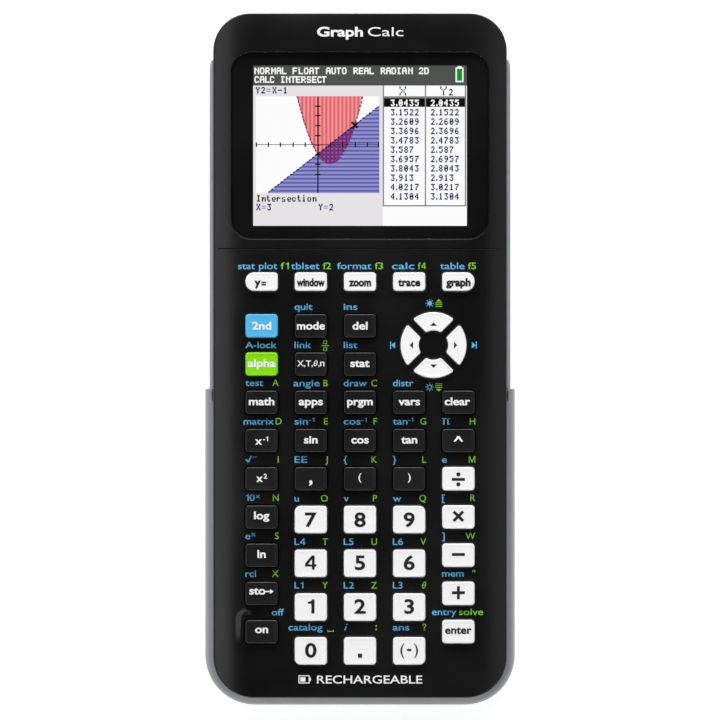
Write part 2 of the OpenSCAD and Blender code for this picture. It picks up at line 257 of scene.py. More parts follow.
def new_material(name):
    """A new material and its node tree, empty."""
    material = bpy.data.materials.new(name)
    material.use_nodes = True
    material.node_tree.nodes.clear()
    return material, material.node_tree


def moulded_plastic(name, colour, rough, grain_mm=0.35, grain_depth_mm=0.006, tint=0.06, polish=0.05,
                    metal=0.0, glow=0.0):
    """Injection moulded ABS with a fine grain, a faint tint variation and polished patches."""
    material, tree = new_material(name)
    place = add_node(tree, "ShaderNodeTexCoord").outputs["Object"]
    grain = add_node(tree, "ShaderNodeTexNoise", {
        "Vector": place, "Scale": 1 / (grain_mm * MM), "Detail": 2.0}).outputs["Fac"]
    patches = add_node(tree, "ShaderNodeTexNoise", {
        "Vector": place, "Scale": 1 / (PATCH_MM * MM), "Detail": 3.0}).outputs["Fac"]
    base = linear(colour)
    dark, light = ([min(c * share, 1) for c in base[:3]] + [1] for share in (1 - tint, 1 + tint))
    hue = add_node(tree, "ShaderNodeMix", {0: patches, 6: dark, 7: light}, data_type="RGBA")
    gloss = add_node(tree, "ShaderNodeMapRange", {
        "Value": patches, "From Min": 0.3, "From Max": 0.7,
        "To Min": rough - polish, "To Max": rough + polish})
    relief = add_node(tree, "ShaderNodeBump", {
        "Strength": 0.35, "Distance": grain_depth_mm * MM, "Height": grain})
    surface = add_node(tree, "ShaderNodeBsdfPrincipled", {
        "Base Color": hue.outputs[2], "Roughness": gloss.outputs["Result"],
        "Normal": relief.outputs["Normal"], "IOR": ABS_IOR, "Metallic": metal,
        "Emission Color": base, "Emission Strength": glow})
    add_node(tree, "ShaderNodeOutputMaterial", {"Surface": surface.outputs["BSDF"]})
    return material


case_plastic = moulded_plastic("black_abs_satin_moulded", "#0b0b0b", 0.31)
rear_plastic = moulded_plastic("black_abs_grained_moulded", "#161617", 0.48, 0.5, 0.02)
black_key_plastic = moulded_plastic("black_abs_key_moulded", "#131314", 0.36)
white_key_plastic = moulded_plastic("white_abs_key_moulded", "#f8f8f8", 0.38, tint=0.012)
blue_key_plastic = moulded_plastic("light_blue_abs_key_moulded", "#55b8ec", 0.38, tint=0.02)
green_key_plastic = moulded_plastic("lime_abs_key_moulded", "#88dc04", 0.38, tint=0.02)
cover_plastic = moulded_plastic("grey_abs_satin_moulded", "#8d8f93", 0.36, tint=0.006, polish=0.012)
floor_paint = moulded_plastic("white_studio_floor", "#f6f6f6", 0.9, grain_mm=6, grain_depth_mm=0.01,
                              tint=0.004, glow=0.6)

# %% Floor
FLOOR_HALF = 3.0
FLOOR_DROP = 0.0003
floor_mesh = bpy.data.meshes.new("studio_floor")
floor_corners = [(x * FLOOR_HALF, y * FLOOR_HALF, -FLOOR_DROP)
                 for x, y in ((-1, -1), (1, -1), (1, 1), (-1, 1))]
floor_mesh.from_pydata(floor_corners, [], [(0, 1, 2, 3)])
floor_mesh.materials.append(floor_paint)
studio_floor = add_object("studio_floor", floor_mesh)

# %% [markdown]
# ## The front case
#
# One black shell carries the face. Its middle is flat, and both long sides roll off on a 30 mm radius, so
# the hand finds no hard edge. The face has an opening for each key and a recess for the window. A grid that
# is bent and cut by Booleans would need thousands of faces to keep the openings clean. Here the face is a
# triangulation that is forced through every opening's outline, and extra points along the roll-off give it
# room to bend.

# %% Sizes of the front case, from the frame
case_low, case_high = box_mm("front_case")
rear_low, rear_high = box_mm("rear_case")
pane_low, pane_high = box_mm("display_window")
CASE_HALF = rear_high.x
CASE_W = 2 * CASE_HALF
CASE_LEN = case_high.y - case_low.y
CASE_MID = (case_high.y + case_low.y) / 2
SPLIT_Z = case_low.z
FACE_Z = pane_high.z + 0.1
WALL = 1.8
PLATE_Z = FACE_Z - WALL
CASE_RADII = [10, 10, 11, 11]
FLAT_HALF = 29.5
ROLL_R = 30.0
END_ROLL = 5.0
EDGE_R = 0.8
KEY_GAP = 0.2
RIM = 0.6
LIP_R = 0.22
PANE_LIP = 0.08

on_low, on_high = box_mm("key_on")
ON_LEFT = on_low.x + RIM
ON_TOP = on_high.y - RIM
ON_LOW = on_low.y + RIM
GUARD_X = ON_LEFT - 0.95
GUARD_TOP = ON_TOP + 1.5
GUARD_H = 0.42
GUARD_TURN = 1.4
GUARD_FADE = 3.2
GUARD_TIP = 1.1
GUARD_OUTSIDE, GUARD_INSIDE = 1.7, 0.55


def hill(distance):
    """A smooth hill of height one that ends at a distance of one."""
    return max(0.0, 1 - distance**2) ** 2


def guard_height(x, y):
    """Swelling of the face beside the on key: a soft ridge, highest where it turns in over the corner."""
    corner_x, corner_y = GUARD_X + GUARD_TURN, GUARD_TOP - GUARD_TURN
    tall = GUARD_H
    if x < corner_x and y > corner_y:
        away = math.hypot(x - corner_x, y - corner_y) - GUARD_TURN
        along = 0.0
    elif y <= corner_y:
        away = GUARD_X - x
        along = max(ON_LOW + 3.4 - y, 0) / GUARD_FADE
        tall *= 0.45 + 0.55 * hill((corner_y - y) / GUARD_FADE)
    else:
        away = y - GUARD_TOP
        along = x - corner_x
    across = hill(away / (GUARD_OUTSIDE if away > 0 else GUARD_INSIDE))
    return tall * across * hill(max(along, 0) / GUARD_TIP)


def crown(x, y):
    """Height of the face: flat, rolled off along the sides and slightly at the two ends."""
    side = max(abs(x) - FLAT_HALF, 0)
    end = max(abs(y - CASE_MID) - (CASE_LEN / 2 - END_ROLL), 0)
    drop = ROLL_R - math.sqrt(ROLL_R**2 - side**2)
    drop += ROLL_R - math.sqrt(ROLL_R**2 - end**2)
    return FACE_Z - drop + guard_height(x, y)


print("face at", round(FACE_Z, 2), "side edge at", round(crown(CASE_HALF, 0), 2))

# %% [markdown]
# The arrow keys are quarters of a ring. Their outline has two arcs, two straight sides at 45 degrees and
# four rounded corners. It is worked out from the centres of those corners, which stay put when the outline
# grows or shrinks, so the key and its opening share one function.

# %% Outline of an arrow key
ring_lows = [box_mm(n) for n in ("key_left", "key_right", "key_down", "key_up")]
RING_C = ((ring_lows[0][0].x + ring_lows[1][1].x) / 2, (ring_lows[2][0].y + ring_lows[3][1].y) / 2)
RING_OUT = (ring_lows[1][1].x - ring_lows[0][0].x) / 2 - RIM
RING_IN = 3.95
RING_RIB = 2.05
RING_CORNER = 0.5


def quarter_ring(grow, turn, steps=10):
    """Points round a quarter of the arrow ring, grown all round, turned in quarter turns."""
    inset = RING_RIB / 2 + RING_CORNER
    outer, inner = RING_OUT - RING_CORNER, RING_IN + RING_CORNER
    a_out = math.pi / 4 - math.asin(inset / outer)
    a_in = math.pi / 4 - math.asin(inset / inner)
    r = max(RING_CORNER + grow, 0.02)
    slope = 3 * math.pi / 4

    def arc(centre_r, centre_a, radius, start, stop):
        cx, cy = centre_r * math.cos(centre_a), centre_r * math.sin(centre_a)
        spans = [start + (stop - start) * i / steps for i in range(steps + 1)]
        return [(cx + radius * math.cos(a), cy + radius * math.sin(a)) for a in spans]

    points = arc(0, 0, RING_OUT + grow, -a_out, a_out)[1:-1]
    points += arc(outer, a_out, r, a_out, slope)
    points += arc(inner, a_in, r, slope, math.pi + a_in)
    points += arc(0, 0, RING_IN - grow, a_in, -a_in)[1:-1]
    points += arc(inner, -a_in, r, math.pi - a_in, 2 * math.pi - slope)
    points += arc(outer, -a_out, r, -slope, -a_out)
    c, s = [(1, 0), (0, 1), (-1, 0), (0, -1)][turn]
    return [(RING_C[0] + c * x - s * y, RING_C[1] + s * x + c * y) for x, y in points]


# %% Every opening in the face
ARROWS = ["key_right", "key_up", "key_left", "key_down"]
# The order of these lists is the order in which pieces are made
CAP_KEYS = [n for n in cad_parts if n.startswith("key_") and n not in ARROWS + ["key_mat"]]
SOFT_R, END_R, BLOCK_R = 0.9, 2.3, 1.6
SPECIAL_CORNERS = {
    "key_y_equals": [SOFT_R, END_R, END_R, SOFT_R],
    "key_graph": [END_R, SOFT_R, SOFT_R, END_R],
    "key_7": [SOFT_R, BLOCK_R, SOFT_R, SOFT_R],
    "key_9": [BLOCK_R, SOFT_R, SOFT_R, SOFT_R],
    "key_0": [SOFT_R, SOFT_R, BLOCK_R, SOFT_R],
    "key_negative": [SOFT_R, SOFT_R, SOFT_R, BLOCK_R],
}
PANE = (pane_high.x - pane_low.x, pane_high.y - pane_low.y)
PANE_C = ((pane_high.x + pane_low.x) / 2, (pane_high.y + pane_low.y) / 2)
PANE_R = 5.5
MIDDLE_HEIGHTS = (6, 7)
SHRINK, TALL_SHRINK = 0.2, 0.32


def is_middle(h):
    """Whether a cap has the height of the black keys and the operators."""
    return MIDDLE_HEIGHTS[0] < h < MIDDLE_HEIGHTS[1]


def cap_size(node):
    """Middle and size of a key's cap: without the rim that keeps it in the case, and shrunk by a hair."""
    low, high = box_mm(node)
    w, h = high.x - low.x - 2 * RIM, high.y - low.y - 2 * RIM
    shrink = SHRINK if is_middle(h) else TALL_SHRINK
    return ((low.x + high.x) / 2, (low.y + high.y) / 2), (w - SHRINK, h - shrink)


def cap_ring(node, grow):
    """Outline of a cap, grown or shrunk all round."""
    centre, (w, h) = cap_size(node)
    return grown_ring(w, h, SPECIAL_CORNERS.get(node, [SOFT_R] * 4), grow, centre)


openings = [lambda grow, node=node: cap_ring(node, KEY_GAP + grow) for node in CAP_KEYS]
openings += [lambda grow, turn=turn: quarter_ring(KEY_GAP + grow, turn) for turn in range(4)]
print("openings for keys", len(openings))


# %% Triangulated plates
def inside(point, ring):
    """Whether a point lies inside a closed outline."""
    x, y = point
    hit = False
    for (x0, y0), (x1, y1) in zip(ring, ring[1:] + ring[:1]):
        if (y0 > y) != (y1 > y) and x < x0 + (y - y0) * (x1 - x0) / (y1 - y0):
            hit = not hit
    return hit


@functools.cache
def box_of(ring):
    """Lowest x and y, then highest x and y, of an outline given as a tuple."""
    xs, ys = [p[0] for p in ring], [p[1] for p in ring]
    return min(xs), min(ys), max(xs), max(ys)


def in_any(point, rings):
    """Whether a point lies inside one of the outlines. A box test first keeps this quick."""
    for ring in rings:
        low_x, low_y, high_x, high_y = box_of(tuple(ring))
        if low_x < point[0] < high_x and low_y < point[1] < high_y and inside(point, ring):
            return True
    return False


def plate(outline, holes, extra=()):
    """Triangles between an outline and its holes. Returns points, and triangles that wind upwards."""
    loops = [outline] + holes
    points, edges = [], []
    for loop in loops:
        start = len(points)
        points += [Vector(p) for p in loop]
        edges += [(start + i, start + (i + 1) % len(loop)) for i in range(len(loop))]
    points += [Vector(p) for p in extra]
    found, _, triangles, _, _, _ = geometry.delaunay_2d_cdt(points, edges, [], 0, 1e-5)
    kept = []
    for tri in triangles:
        a, b, c = (found[i] for i in tri)
        middle = ((a.x + b.x + c.x) / 3, (a.y + b.y + c.y) / 3)
        if not inside(middle, outline) or in_any(middle, holes):
            continue
        up = (b - a).cross(c - a) > 0
        kept.append(tuple(tri) if up else tuple(reversed(tri)))
    return [(p.x, p.y) for p in found], kept


# %% [markdown]
# The face's fillets are rings too. Each opening's edge turns down over a 0.2 mm lip. The outer edge starts at
# the slope the face has there, so there is no crease. It is broad along the sides and tight at the ends, and
# stops at 50 degrees, where the parting line of the mould leaves only a hair of a radius. The ridge beside
# the on key keeps a stray thumb off it. The whole shell, with its inner walls, is one closed mesh.

# %% Outer edge of the front case
SEAM_Y = 30.0
SEAM = (76.6, 0.26)
SEAM_DEPTH = 0.3


def case_ring(inset):
    """The case's outline, moved inwards."""
    return grown_ring(CASE_W, CASE_LEN, CASE_RADII, -inset, (0, CASE_MID), 14)


SIDE_ROUND, END_ROUND, LINE_ROUND = 1.6, 0.35, 0.15
LINE_ANGLE = math.radians(50)


def edge_rings():
    """Rings of the outer edge, from the side wall up to the face."""
    rings = []
    for step in range(9):
        ring = []
        for (x0, y0), (x1, y1) in zip(case_ring(0), case_ring(1)):
            nx, ny = x1 - x0, y1 - y0
            slope = math.atan((crown(x0 + nx, y0 + ny) - crown(x0 + 0.7 * nx, y0 + 0.7 * ny)) / 0.3)
            r = END_ROUND + (SIDE_ROUND - END_ROUND) * nx * nx
            turn = LINE_ROUND * (1 - math.sin(LINE_ANGLE))
            top_inset = turn + r * (math.sin(LINE_ANGLE) - math.sin(slope))
            top = crown(x0 + nx * top_inset, y0 + ny * top_inset)
            if step < 3:
                a = math.pi / 2 + (LINE_ANGLE - math.pi / 2) * step / 3
                inset = LINE_ROUND * (1 - math.sin(a))
                drop = LINE_ROUND * (math.cos(LINE_ANGLE) - math.cos(a))
                drop += r * (math.cos(slope) - math.cos(LINE_ANGLE))
            else:
                a = LINE_ANGLE + (slope - LINE_ANGLE) * (step - 3) / 5
                inset = turn + r * (math.sin(LINE_ANGLE) - math.sin(a))
                drop = r * (math.cos(slope) - math.cos(a))
            ring.append((x0 + nx * inset, y0 + ny * inset, top - drop))
        rings.append(ring)
    return rings


# %% Seam, window recess and points that let the face bend
def seam_ring(grow):
    """The seam's outline, with points along its length so that it follows the roll-off."""
    half, tall = SEAM[0] / 2 + grow, SEAM[1] / 2 + grow
    across = [half * (i / 20 - 1) for i in range(41)]
    return [(x, SEAM_Y - tall) for x in across] + [(x, SEAM_Y + tall) for x in reversed(across)]


def pane_ring(grow):
    """Outline of the window's recess."""
    return grown_ring(PANE[0] + 0.3, PANE[1] + 0.3, [PANE_R + 0.15] * 4, grow, PANE_C, 10)


LIT = (57.7, 43.3)
SILL = (LIT[0] + 3.3, LIT[1] + 3.3)


def sill_ring(grow):
    """Outline of the opening under the window, behind the sill that the window is glued to."""
    return grown_ring(SILL[0], SILL[1], [1.5] * 4, grow, PANE_C, 10)


roll_points = []
for step in range(10):
    x = FLAT_HALF + 0.95 * step
    roll_points += [(side * x, case_low.y + 6 + 4.0 * k) for side in (-1, 1) for k in range(44)]
guard_points = [(ON_LEFT - 3.0 + 0.13 * i, ON_LOW - 0.6 + 0.2 * k) for i in range(36) for k in range(50)]
keep_out = [ring(LIP_R + 0.12) for ring in openings] + [pane_ring(LIP_R + 0.3), seam_ring(0.5)]
keep_in = case_ring(EDGE_R + 0.4)
bend_points = [p for p in roll_points + guard_points if inside(p, keep_in) and not in_any(p, keep_out)]

# %% The shell as one closed mesh
verts, faces = [], []


def add_plate(outline, holes, height, extra=(), flip=False):
    """Add a triangulated plate at a height to the shell being made."""
    points, triangles = plate(outline, holes, extra)
    start = len(verts)
    verts.extend((x, y, height(x, y) if callable(height) else height) for x, y in points)
    for tri in triangles:
        order = reversed(tri) if flip else tri
        faces.append(tuple(start + i for i in order))


def lip(outline, r):
    """Rings that turn the face down into an opening, from its wall up to the face."""
    return [at_height(outline(r * (1 - math.sin(a))), lambda x, y, a=a: crown(x, y) - r * (1 - math.cos(a)))
            for a in reversed(QUARTER)]


def add_recess(rings, close_first=False):
    """Add the wall of an opening, whose faces look inwards."""
    join_rings(verts, faces, [loop[::-1] for loop in rings], close_first, False)


SEAM_EASE = 0.06
top_holes = [ring(LIP_R) for ring in openings] + [pane_ring(PANE_LIP), seam_ring(SEAM_EASE)]
edge = edge_rings()
add_plate([(x, y) for x, y, _ in edge[-1]], top_holes, crown, bend_points)
under_holes = [ring(0) for ring in openings] + [sill_ring(0)]
add_plate(case_ring(WALL), under_holes, PLATE_Z, flip=True)
# Outer edge, side wall and the rim that meets the rear case
SEAM_BEVEL = 0.15
side_wall = stack(case_ring, [(SEAM_BEVEL, SPLIT_Z), (0, SPLIT_Z + SEAM_BEVEL)])
join_rings(verts, faces, side_wall + edge, False, False)
inner_wall = stack(case_ring, [(WALL, PLATE_Z), (WALL, SPLIT_Z), (SEAM_BEVEL, SPLIT_Z)])
join_rings(verts, faces, inner_wall, False, False)
# Key openings, window recess and cross seam
for ring in openings:
    add_recess([at_height(ring(0), PLATE_Z)] + lip(ring, LIP_R))
PANE_SEAT = pane_low.z - 0.05
add_recess(stack(sill_ring, [(0, PLATE_Z), (0, PANE_SEAT)]) + stack(pane_ring, [(0, PANE_SEAT)])
           + lip(pane_ring, PANE_LIP))
add_recess(stack(seam_ring, [(0, lambda x, y: crown(x, y) - SEAM_DEPTH), (SEAM_EASE, crown)]), True)

# %% Stops over the ends of the cover's tall walls, and the finished shell
STOP_MIDDLE, STOP_SIZE = (-9.55, 12.5), (3.5, 2.6)
for side in (-1, 1):
    bump = []
    for reach, grow in ((-0.6, 0.0), (0.32, 0.0), (0.45, -0.12), (0.5, -0.3)):
        outline = grown_ring(*STOP_SIZE, [0.9] * 4, grow, STOP_MIDDLE, 4)
        bump.append([(side * (CASE_HALF + reach), y, z) for y, z in outline[::side]])
    join_rings(verts, faces, bump)
front_case = make_piece("front_case_shell", verts, faces, case_plastic, "calculator", ["front_case"],
                        sharp=50)
# The face knows its exact slope, so its vertices get exact normals: no triangle shows in a reflection
front_case.modifiers.clear()
exact = []
for vertex in front_case.data.vertices:
    x, y, z = vertex.co / MM
    if abs(z - crown(x, y)) < 5e-4:
        lean_x = (crown(x + 0.01, y) - crown(x - 0.01, y)) / 0.02
        lean_y = (crown(x, y + 0.01) - crown(x, y - 0.01)) / 0.02
        exact.append(Vector((-lean_x, -lean_y, 1)).normalized())
    else:
        exact.append(Vector((0, 0, 0)))
front_case.data.normals_split_custom_set_from_vertices(exact)
print("front case faces", len(faces), "exact normals", sum(n.length > 0 for n in exact))

# %% [markdown]
# ## Keys
#
# A key is a hollow cap with a collar under the face, which keeps it from falling out, and a stem that
# presses the rubber mat. The visible part is 1.4 mm tall with a small fillet and a top that dips by a tenth
# of a millimetre towards the middle. All of it is one stack of rings, from the stem's end to the middle of
# the top.

# %% Key caps
KEY_FILLET = 0.32
KEY_DISH = 0.1
WHITE_ROWS = ("key_divide", "key_multiply", "key_minus", "key_plus", "key_enter")
DARK_KEYS = [n for n in CAP_KEYS if is_middle(cap_size(n)[1][1] + SHRINK) and n not in WHITE_ROWS]
COLLAR_LIFT = 0.8
COLLAR_T = 0.8
STEM_WIDE = 1.5


def key_finish(node):
    """The plastic of a key, and a slot name for it."""
    if node == "key_second":
        return blue_key_plastic, "key_blue"
    if node == "key_alpha":
        return green_key_plastic, "key_green"
    if node in DARK_KEYS:
        return black_key_plastic, "key_black"
    return white_key_plastic, "key_white"


def build_key(node, outline, stem_at):
    """A cap with its collar and stem, from the cap's outline function."""
    low, high = box_mm(node)
    collar_low, top = low.z + COLLAR_LIFT, high.z
    collar_top = collar_low + COLLAR_T
    stem = []
    for x, y in outline(0):
        a = math.atan2(y - stem_at[1], x - stem_at[0])
        stem.append((stem_at[0] + STEM_WIDE * math.cos(a), stem_at[1] + STEM_WIDE * math.sin(a)))
    rings = [at_height(stem, low.z), at_height(stem, collar_low)]
    rings += stack(outline, [(RIM, collar_low), (RIM, collar_top), (0, collar_top)])
    rings += stack(outline, fillet_steps(KEY_FILLET, top))
    rings += stack(outline, [(-0.75, top - KEY_DISH / 2), (-1.1, top - KEY_DISH)])
    finish, slot = key_finish(node)
    ring_piece("cap_" + node, rings, finish, node, [node], slot)


for node in CAP_KEYS:
    build_key(node, lambda grow, node=node: cap_ring(node, grow), cap_size(node)[0])
STEM_R = (RING_IN + RING_OUT) / 2
WAYS = [(1, 0), (0, 1), (-1, 0), (0, -1)]
for turn, (node, way) in enumerate(zip(ARROWS, WAYS)):
    build_key(node, lambda grow, turn=turn: quarter_ring(grow, turn),
              (RING_C[0] + STEM_R * way[0], RING_C[1] + STEM_R * way[1]))
print("keys", len(CAP_KEYS) + len(ARROWS), "of them dark", len(DARK_KEYS))

# %% [markdown]
# ## Slide cover
#
# The cover is a moulded tray. Its walls curl out and back in like a letter C, which stiffens a thin wall and
# lets it grip the case, and a rail inside each tall wall runs in a groove of the case. The wall is one
# section swept along the tray's outline, so the curl is smooth and its quads run along the part. The walls
# beside the display are lower and end in a rounded nose.

# %% Sweep the cover
cover_low, cover_high = box_mm("slide_cover")
COVER_T = 1.6
COVER_R = 13.5
TALL_Z = 10.4
LOW_Z = 5.2
STEP_Y = -7.8
COVER_INNER = CASE_HALF - 0.75
TALL_OUT = cover_high.x - COVER_INNER
LOW_OUT = TALL_OUT - 1.05
CORNER_Y = cover_low.y + COVER_R
INNER_R = COVER_R - TALL_OUT
NOSE_R = 7.0


def wall_section(out, high, thick, ease=0.0):
    """Points of the C section, outwards and upwards from the wall's foot. Ease thins its outside."""
    steps = [math.pi / 2 * k / 8 for k in range(9)]
    straight = high - out
    section = [((out - ease) * math.sin(a), out - (out - ease) * math.cos(a)) for a in steps]
    section += [((out - ease) * math.cos(a), straight + (out - ease) * math.sin(a)) for a in steps]
    r = out - thick + ease
    section += [(r * math.sin(a), straight + r * math.cos(a)) for a in steps]
    return section + [(r * math.cos(a), out - r * math.sin(a)) for a in steps]


def sweep(shell, stations, close=True):
    """Join sections along a path. A station is a point, an outward direction and a section."""
    rings = [[(x + nx * u, y + ny * u, z) for u, z in section] for (x, y), (nx, ny), section in stations]
    join_rings(shell[0], shell[1], rings, close, close)


cover_shell = ([], [])
EASE = 0.16
tall = wall_section(TALL_OUT, TALL_Z, COVER_T)
eased = wall_section(TALL_OUT, TALL_Z, COVER_T, EASE)
path = [((COVER_INNER, STEP_Y), (1, 0), eased), ((COVER_INNER, STEP_Y - EASE), (1, 0), tall)]
corner_x = COVER_INNER - INNER_R
arc = [-math.pi / 2 * k / 14 for k in range(15)]
for side in (1, -1):
    for a in arc[::side]:
        way = (side * math.cos(a), math.sin(a))
        path.append(((side * corner_x + INNER_R * way[0], CORNER_Y + INNER_R * way[1]), way, tall))
path += [((-COVER_INNER, STEP_Y - EASE), (-1, 0), tall), ((-COVER_INNER, STEP_Y), (-1, 0), eased)]
sweep(cover_shell, path)

# %% Low walls, floor and rails of the cover
# The low walls' ends turn in by steps of 7 degrees until the wall is too thin to mould
LOW_T = 1.2
nose_y, nose_x = cover_high.y - NOSE_R, COVER_INNER + LOW_OUT - NOSE_R
run = [(STEP_Y - 0.8, LOW_OUT), (nose_y, LOW_OUT)]
for a in (math.radians(7 * k) for k in range(1, 7)):
    reach = nose_x + NOSE_R * math.cos(a) - COVER_INNER
    if reach > LOW_T + 0.05:
        run.append((nose_y + NOSE_R * math.sin(a), reach))
for side in (1, -1):
    stations = [((side * COVER_INNER, y), (side, 0), wall_section(out, LOW_Z, LOW_T)) for y, out in run]
    sweep(cover_shell, stations[::-side])
# Floor
floor_low = CORNER_Y - INNER_R
floor_ring = rounded_ring(2 * COVER_INNER + 0.6, cover_high.y - floor_low, [5.5, 5.5, INNER_R, INNER_R],
                          (0, (cover_high.y + floor_low) / 2), 10)
join_rings(*cover_shell, [at_height(floor_ring, 0.0), at_height(floor_ring, COVER_T)])
# Rails
RAIL_LOW, RAIL_HIGH, RAIL_BEVEL = TALL_Z - 1.5, TALL_Z - 0.1, 0.15
RAIL = (1.1, STEP_Y - 1.4 - CORNER_Y)
rail_steps = [(-RAIL_BEVEL, RAIL_LOW), (0, RAIL_LOW + RAIL_BEVEL), (0, RAIL_HIGH - RAIL_BEVEL),
              (-RAIL_BEVEL, RAIL_HIGH)]
for side in (-1, 1):
    middle = (side * (COVER_INNER - 0.25), (CORNER_Y + STEP_Y + 0.6) / 2)
    rail = stack(lambda grow, middle=middle: grown_ring(*RAIL, [0.3] * 4, grow, middle, 3), rail_steps)
    join_rings(*cover_shell, rail)
slide_cover = make_piece("slide_cover_tray", *cover_shell, cover_plastic, "slide_cover", ["slide_cover"],
                         "cover_grey")
print("cover faces", len(cover_shell[1]), "box", [round(v / MM, 2) for v in slide_cover.dimensions])

# %% [markdown]
# ## Rear case and battery door
#
# These two have the right shape in CAD, but a CAD edge is perfectly sharp, and no moulded part is. A copy of
# each CAD mesh is merged, its flat areas are joined into single faces, and every sharp edge gets a small
# rounded bevel that catches the light.

# %% Rounded copies of CAD shells
def rounded_copy(node, name, material, bevel_mm, body):
    """A copy of a CAD node with rounded edges, riding on a body in its place."""
    shape = bmesh.new()
    shape.from_mesh(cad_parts[node].data)
    bmesh.ops.remove_doubles(shape, verts=shape.verts, dist=0.004 * MM)
    bmesh.ops.dissolve_limit(shape, angle_limit=math.radians(1.5), verts=shape.verts, edges=shape.edges)
    mesh = bpy.data.meshes.new(name)
    shape.to_mesh(mesh)
    shape.free()
    mesh.materials.clear()
    mesh.materials.append(material)
    piece = add_object(name, mesh)
    for polygon in mesh.polygons:
        polygon.use_smooth = True
        polygon.material_index = 0
    bevel = piece.modifiers.new("moulded edges", "BEVEL")
    bevel.width = bevel_mm * MM
    bevel.segments = 3
    bevel.limit_method = "ANGLE"
    bevel.angle_limit = math.radians(38)
    bevel.miter_outer = "MITER_ARC"
    piece.modifiers.new("weighted normals", "WEIGHTED_NORMAL").weight = 100
    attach(piece, body)
    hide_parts(node)
    return piece


for node, name in (("rear_case", "rear_case_shell"), ("battery_door", "battery_door_panel")):
    rounded_copy(node, name, rear_plastic, 0.2, "calculator")

# %% [markdown]
# ## Window and printed border
#
# The window is a 1.2 mm sheet of clear acrylic, cut to shape and polished. Its underside is screen printed
# in black all round the lit area. The sheet's two faces mirror a few percent of the room, more at a flat
# angle, so it is a mix of a see-through shader and a glossy one, weighted by Fresnel. Only the face that
# looks outwards mirrors. A see-through shader does not bend light, so the inner face would turn into a full
# mirror.

# %% Window
SMEAR_MM = 9


def clear_sheet(name, ior, smear):
    """A clear sheet that mirrors by Fresnel, with faint smears in its gloss."""
    material, tree = new_material(name)
    place = add_node(tree, "ShaderNodeTexCoord").outputs["Object"]
    smears = add_node(tree, "ShaderNodeTexNoise", {
        "Vector": place, "Scale": 1 / (SMEAR_MM * MM), "Detail": 4.0}).outputs["Fac"]
    gloss = add_node(tree, "ShaderNodeMapRange", {
        "Value": smears, "From Min": 0.35, "From Max": 0.7, "To Min": 0.02, "To Max": smear})
    mirror = add_node(tree, "ShaderNodeBsdfGlossy", {
        "Color": (1, 1, 1, 1), "Roughness": gloss.outputs["Result"]}).outputs["BSDF"]
    clear = add_node(tree, "ShaderNodeBsdfTransparent", {"Color": (0.97, 0.97, 0.97, 1)}).outputs["BSDF"]
    share = add_node(tree, "ShaderNodeFresnel", {"IOR": ior}).outputs["Fac"]
    behind = add_node(tree, "ShaderNodeNewGeometry").outputs["Backfacing"]
    front = add_node(tree, "ShaderNodeMath", {0: 1.0, 1: behind}, operation="SUBTRACT").outputs["Value"]
    amount = add_node(tree, "ShaderNodeMath", {0: share, 1: front}, operation="MULTIPLY").outputs["Value"]
    both = add_node(tree, "ShaderNodeMixShader", {0: amount, 1: clear, 2: mirror})
    add_node(tree, "ShaderNodeOutputMaterial", {"Surface": both.outputs["Shader"]})
    return material


clear_acrylic = clear_sheet("clear_acrylic_polished_sheet", 1.35, 0.07)
black_ink = moulded_plastic("black_screen_printed_ink", "#0a0a0b", 0.3, 0.2, 0.001)
white_ink = moulded_plastic("white_pad_printed_ink", "#f4f4f4", 0.45, 0.2, 0.002, tint=0.01)
dark_ink = moulded_plastic("black_pad_printed_ink", "#121212", 0.45, 0.2, 0.002)
blue_ink = moulded_plastic("blue_pad_printed_ink", "#62b4e4", 0.45, 0.2, 0.002, tint=0.02)
green_ink = moulded_plastic("green_pad_printed_ink", "#7fc92c", 0.45, 0.2, 0.002, tint=0.02)

PANE_FILLET = 0.06


def sheet_ring(grow):
    """Outline of the window sheet."""
    return grown_ring(PANE[0], PANE[1], [PANE_R] * 4, grow, PANE_C, 10)


sheet_steps = [(-0.1, pane_low.z), (0, pane_low.z + 0.1)] + fillet_steps(PANE_FILLET, pane_high.z)
sheet = stack(sheet_ring, sheet_steps)
ring_piece("clear_window", sheet, clear_acrylic, "calculator", ["display_window"], "window_clear")


def lit_ring(grow):
    """Outline of the clear area in the printed border."""
    return grown_ring(LIT[0], LIT[1], [0.3] * 4, grow, PANE_C, 10)


PRINT_T = 0.02
border_z = pane_low.z - 0.03
border = stack(sheet_ring, [(-0.2, border_z), (-0.2, border_z + PRINT_T)])
border += stack(lit_ring, [(0, border_z + PRINT_T), (0, border_z)]) + border[:1]
ring_piece("window_border_print", border, black_ink, "calculator", closed=False)

# %% [markdown]
# ## The picture on the display
#
# The lit area is 320 by 240 dots. The picture is composed here as rows of numbers, one colour number per
# dot: a grey status bar, a graph with two shaded regions, and a table of values. Dots of one colour that
# touch are then gathered into rectangles, so the whole picture needs a few thousand small tiles and no
# image file. A node tree puts one tile at each rectangle's middle.

# %% Compose the picture
DOTS_X, DOTS_Y = 320, 240
COLOURS = {
    "status_grey": "#505350", "white": "#fdfdfd", "panel_lilac": "#e8e3e7", "navy": "#0a0a6e",
    "black": "#101010", "line_grey": "#838383", "red_light": "#ff9496", "red_dark": "#d4686e",
    "blue_light": "#9494d4", "blue_dark": "#6464a6", "plum_light": "#a2569e", "plum_dark": "#6f3070",
    "battery_green": "#0f9a1c",
}
CODE = {name: k for k, name in enumerate(COLOURS)}
picture = [[CODE["white"]] * DOTS_X for _ in range(DOTS_Y)]

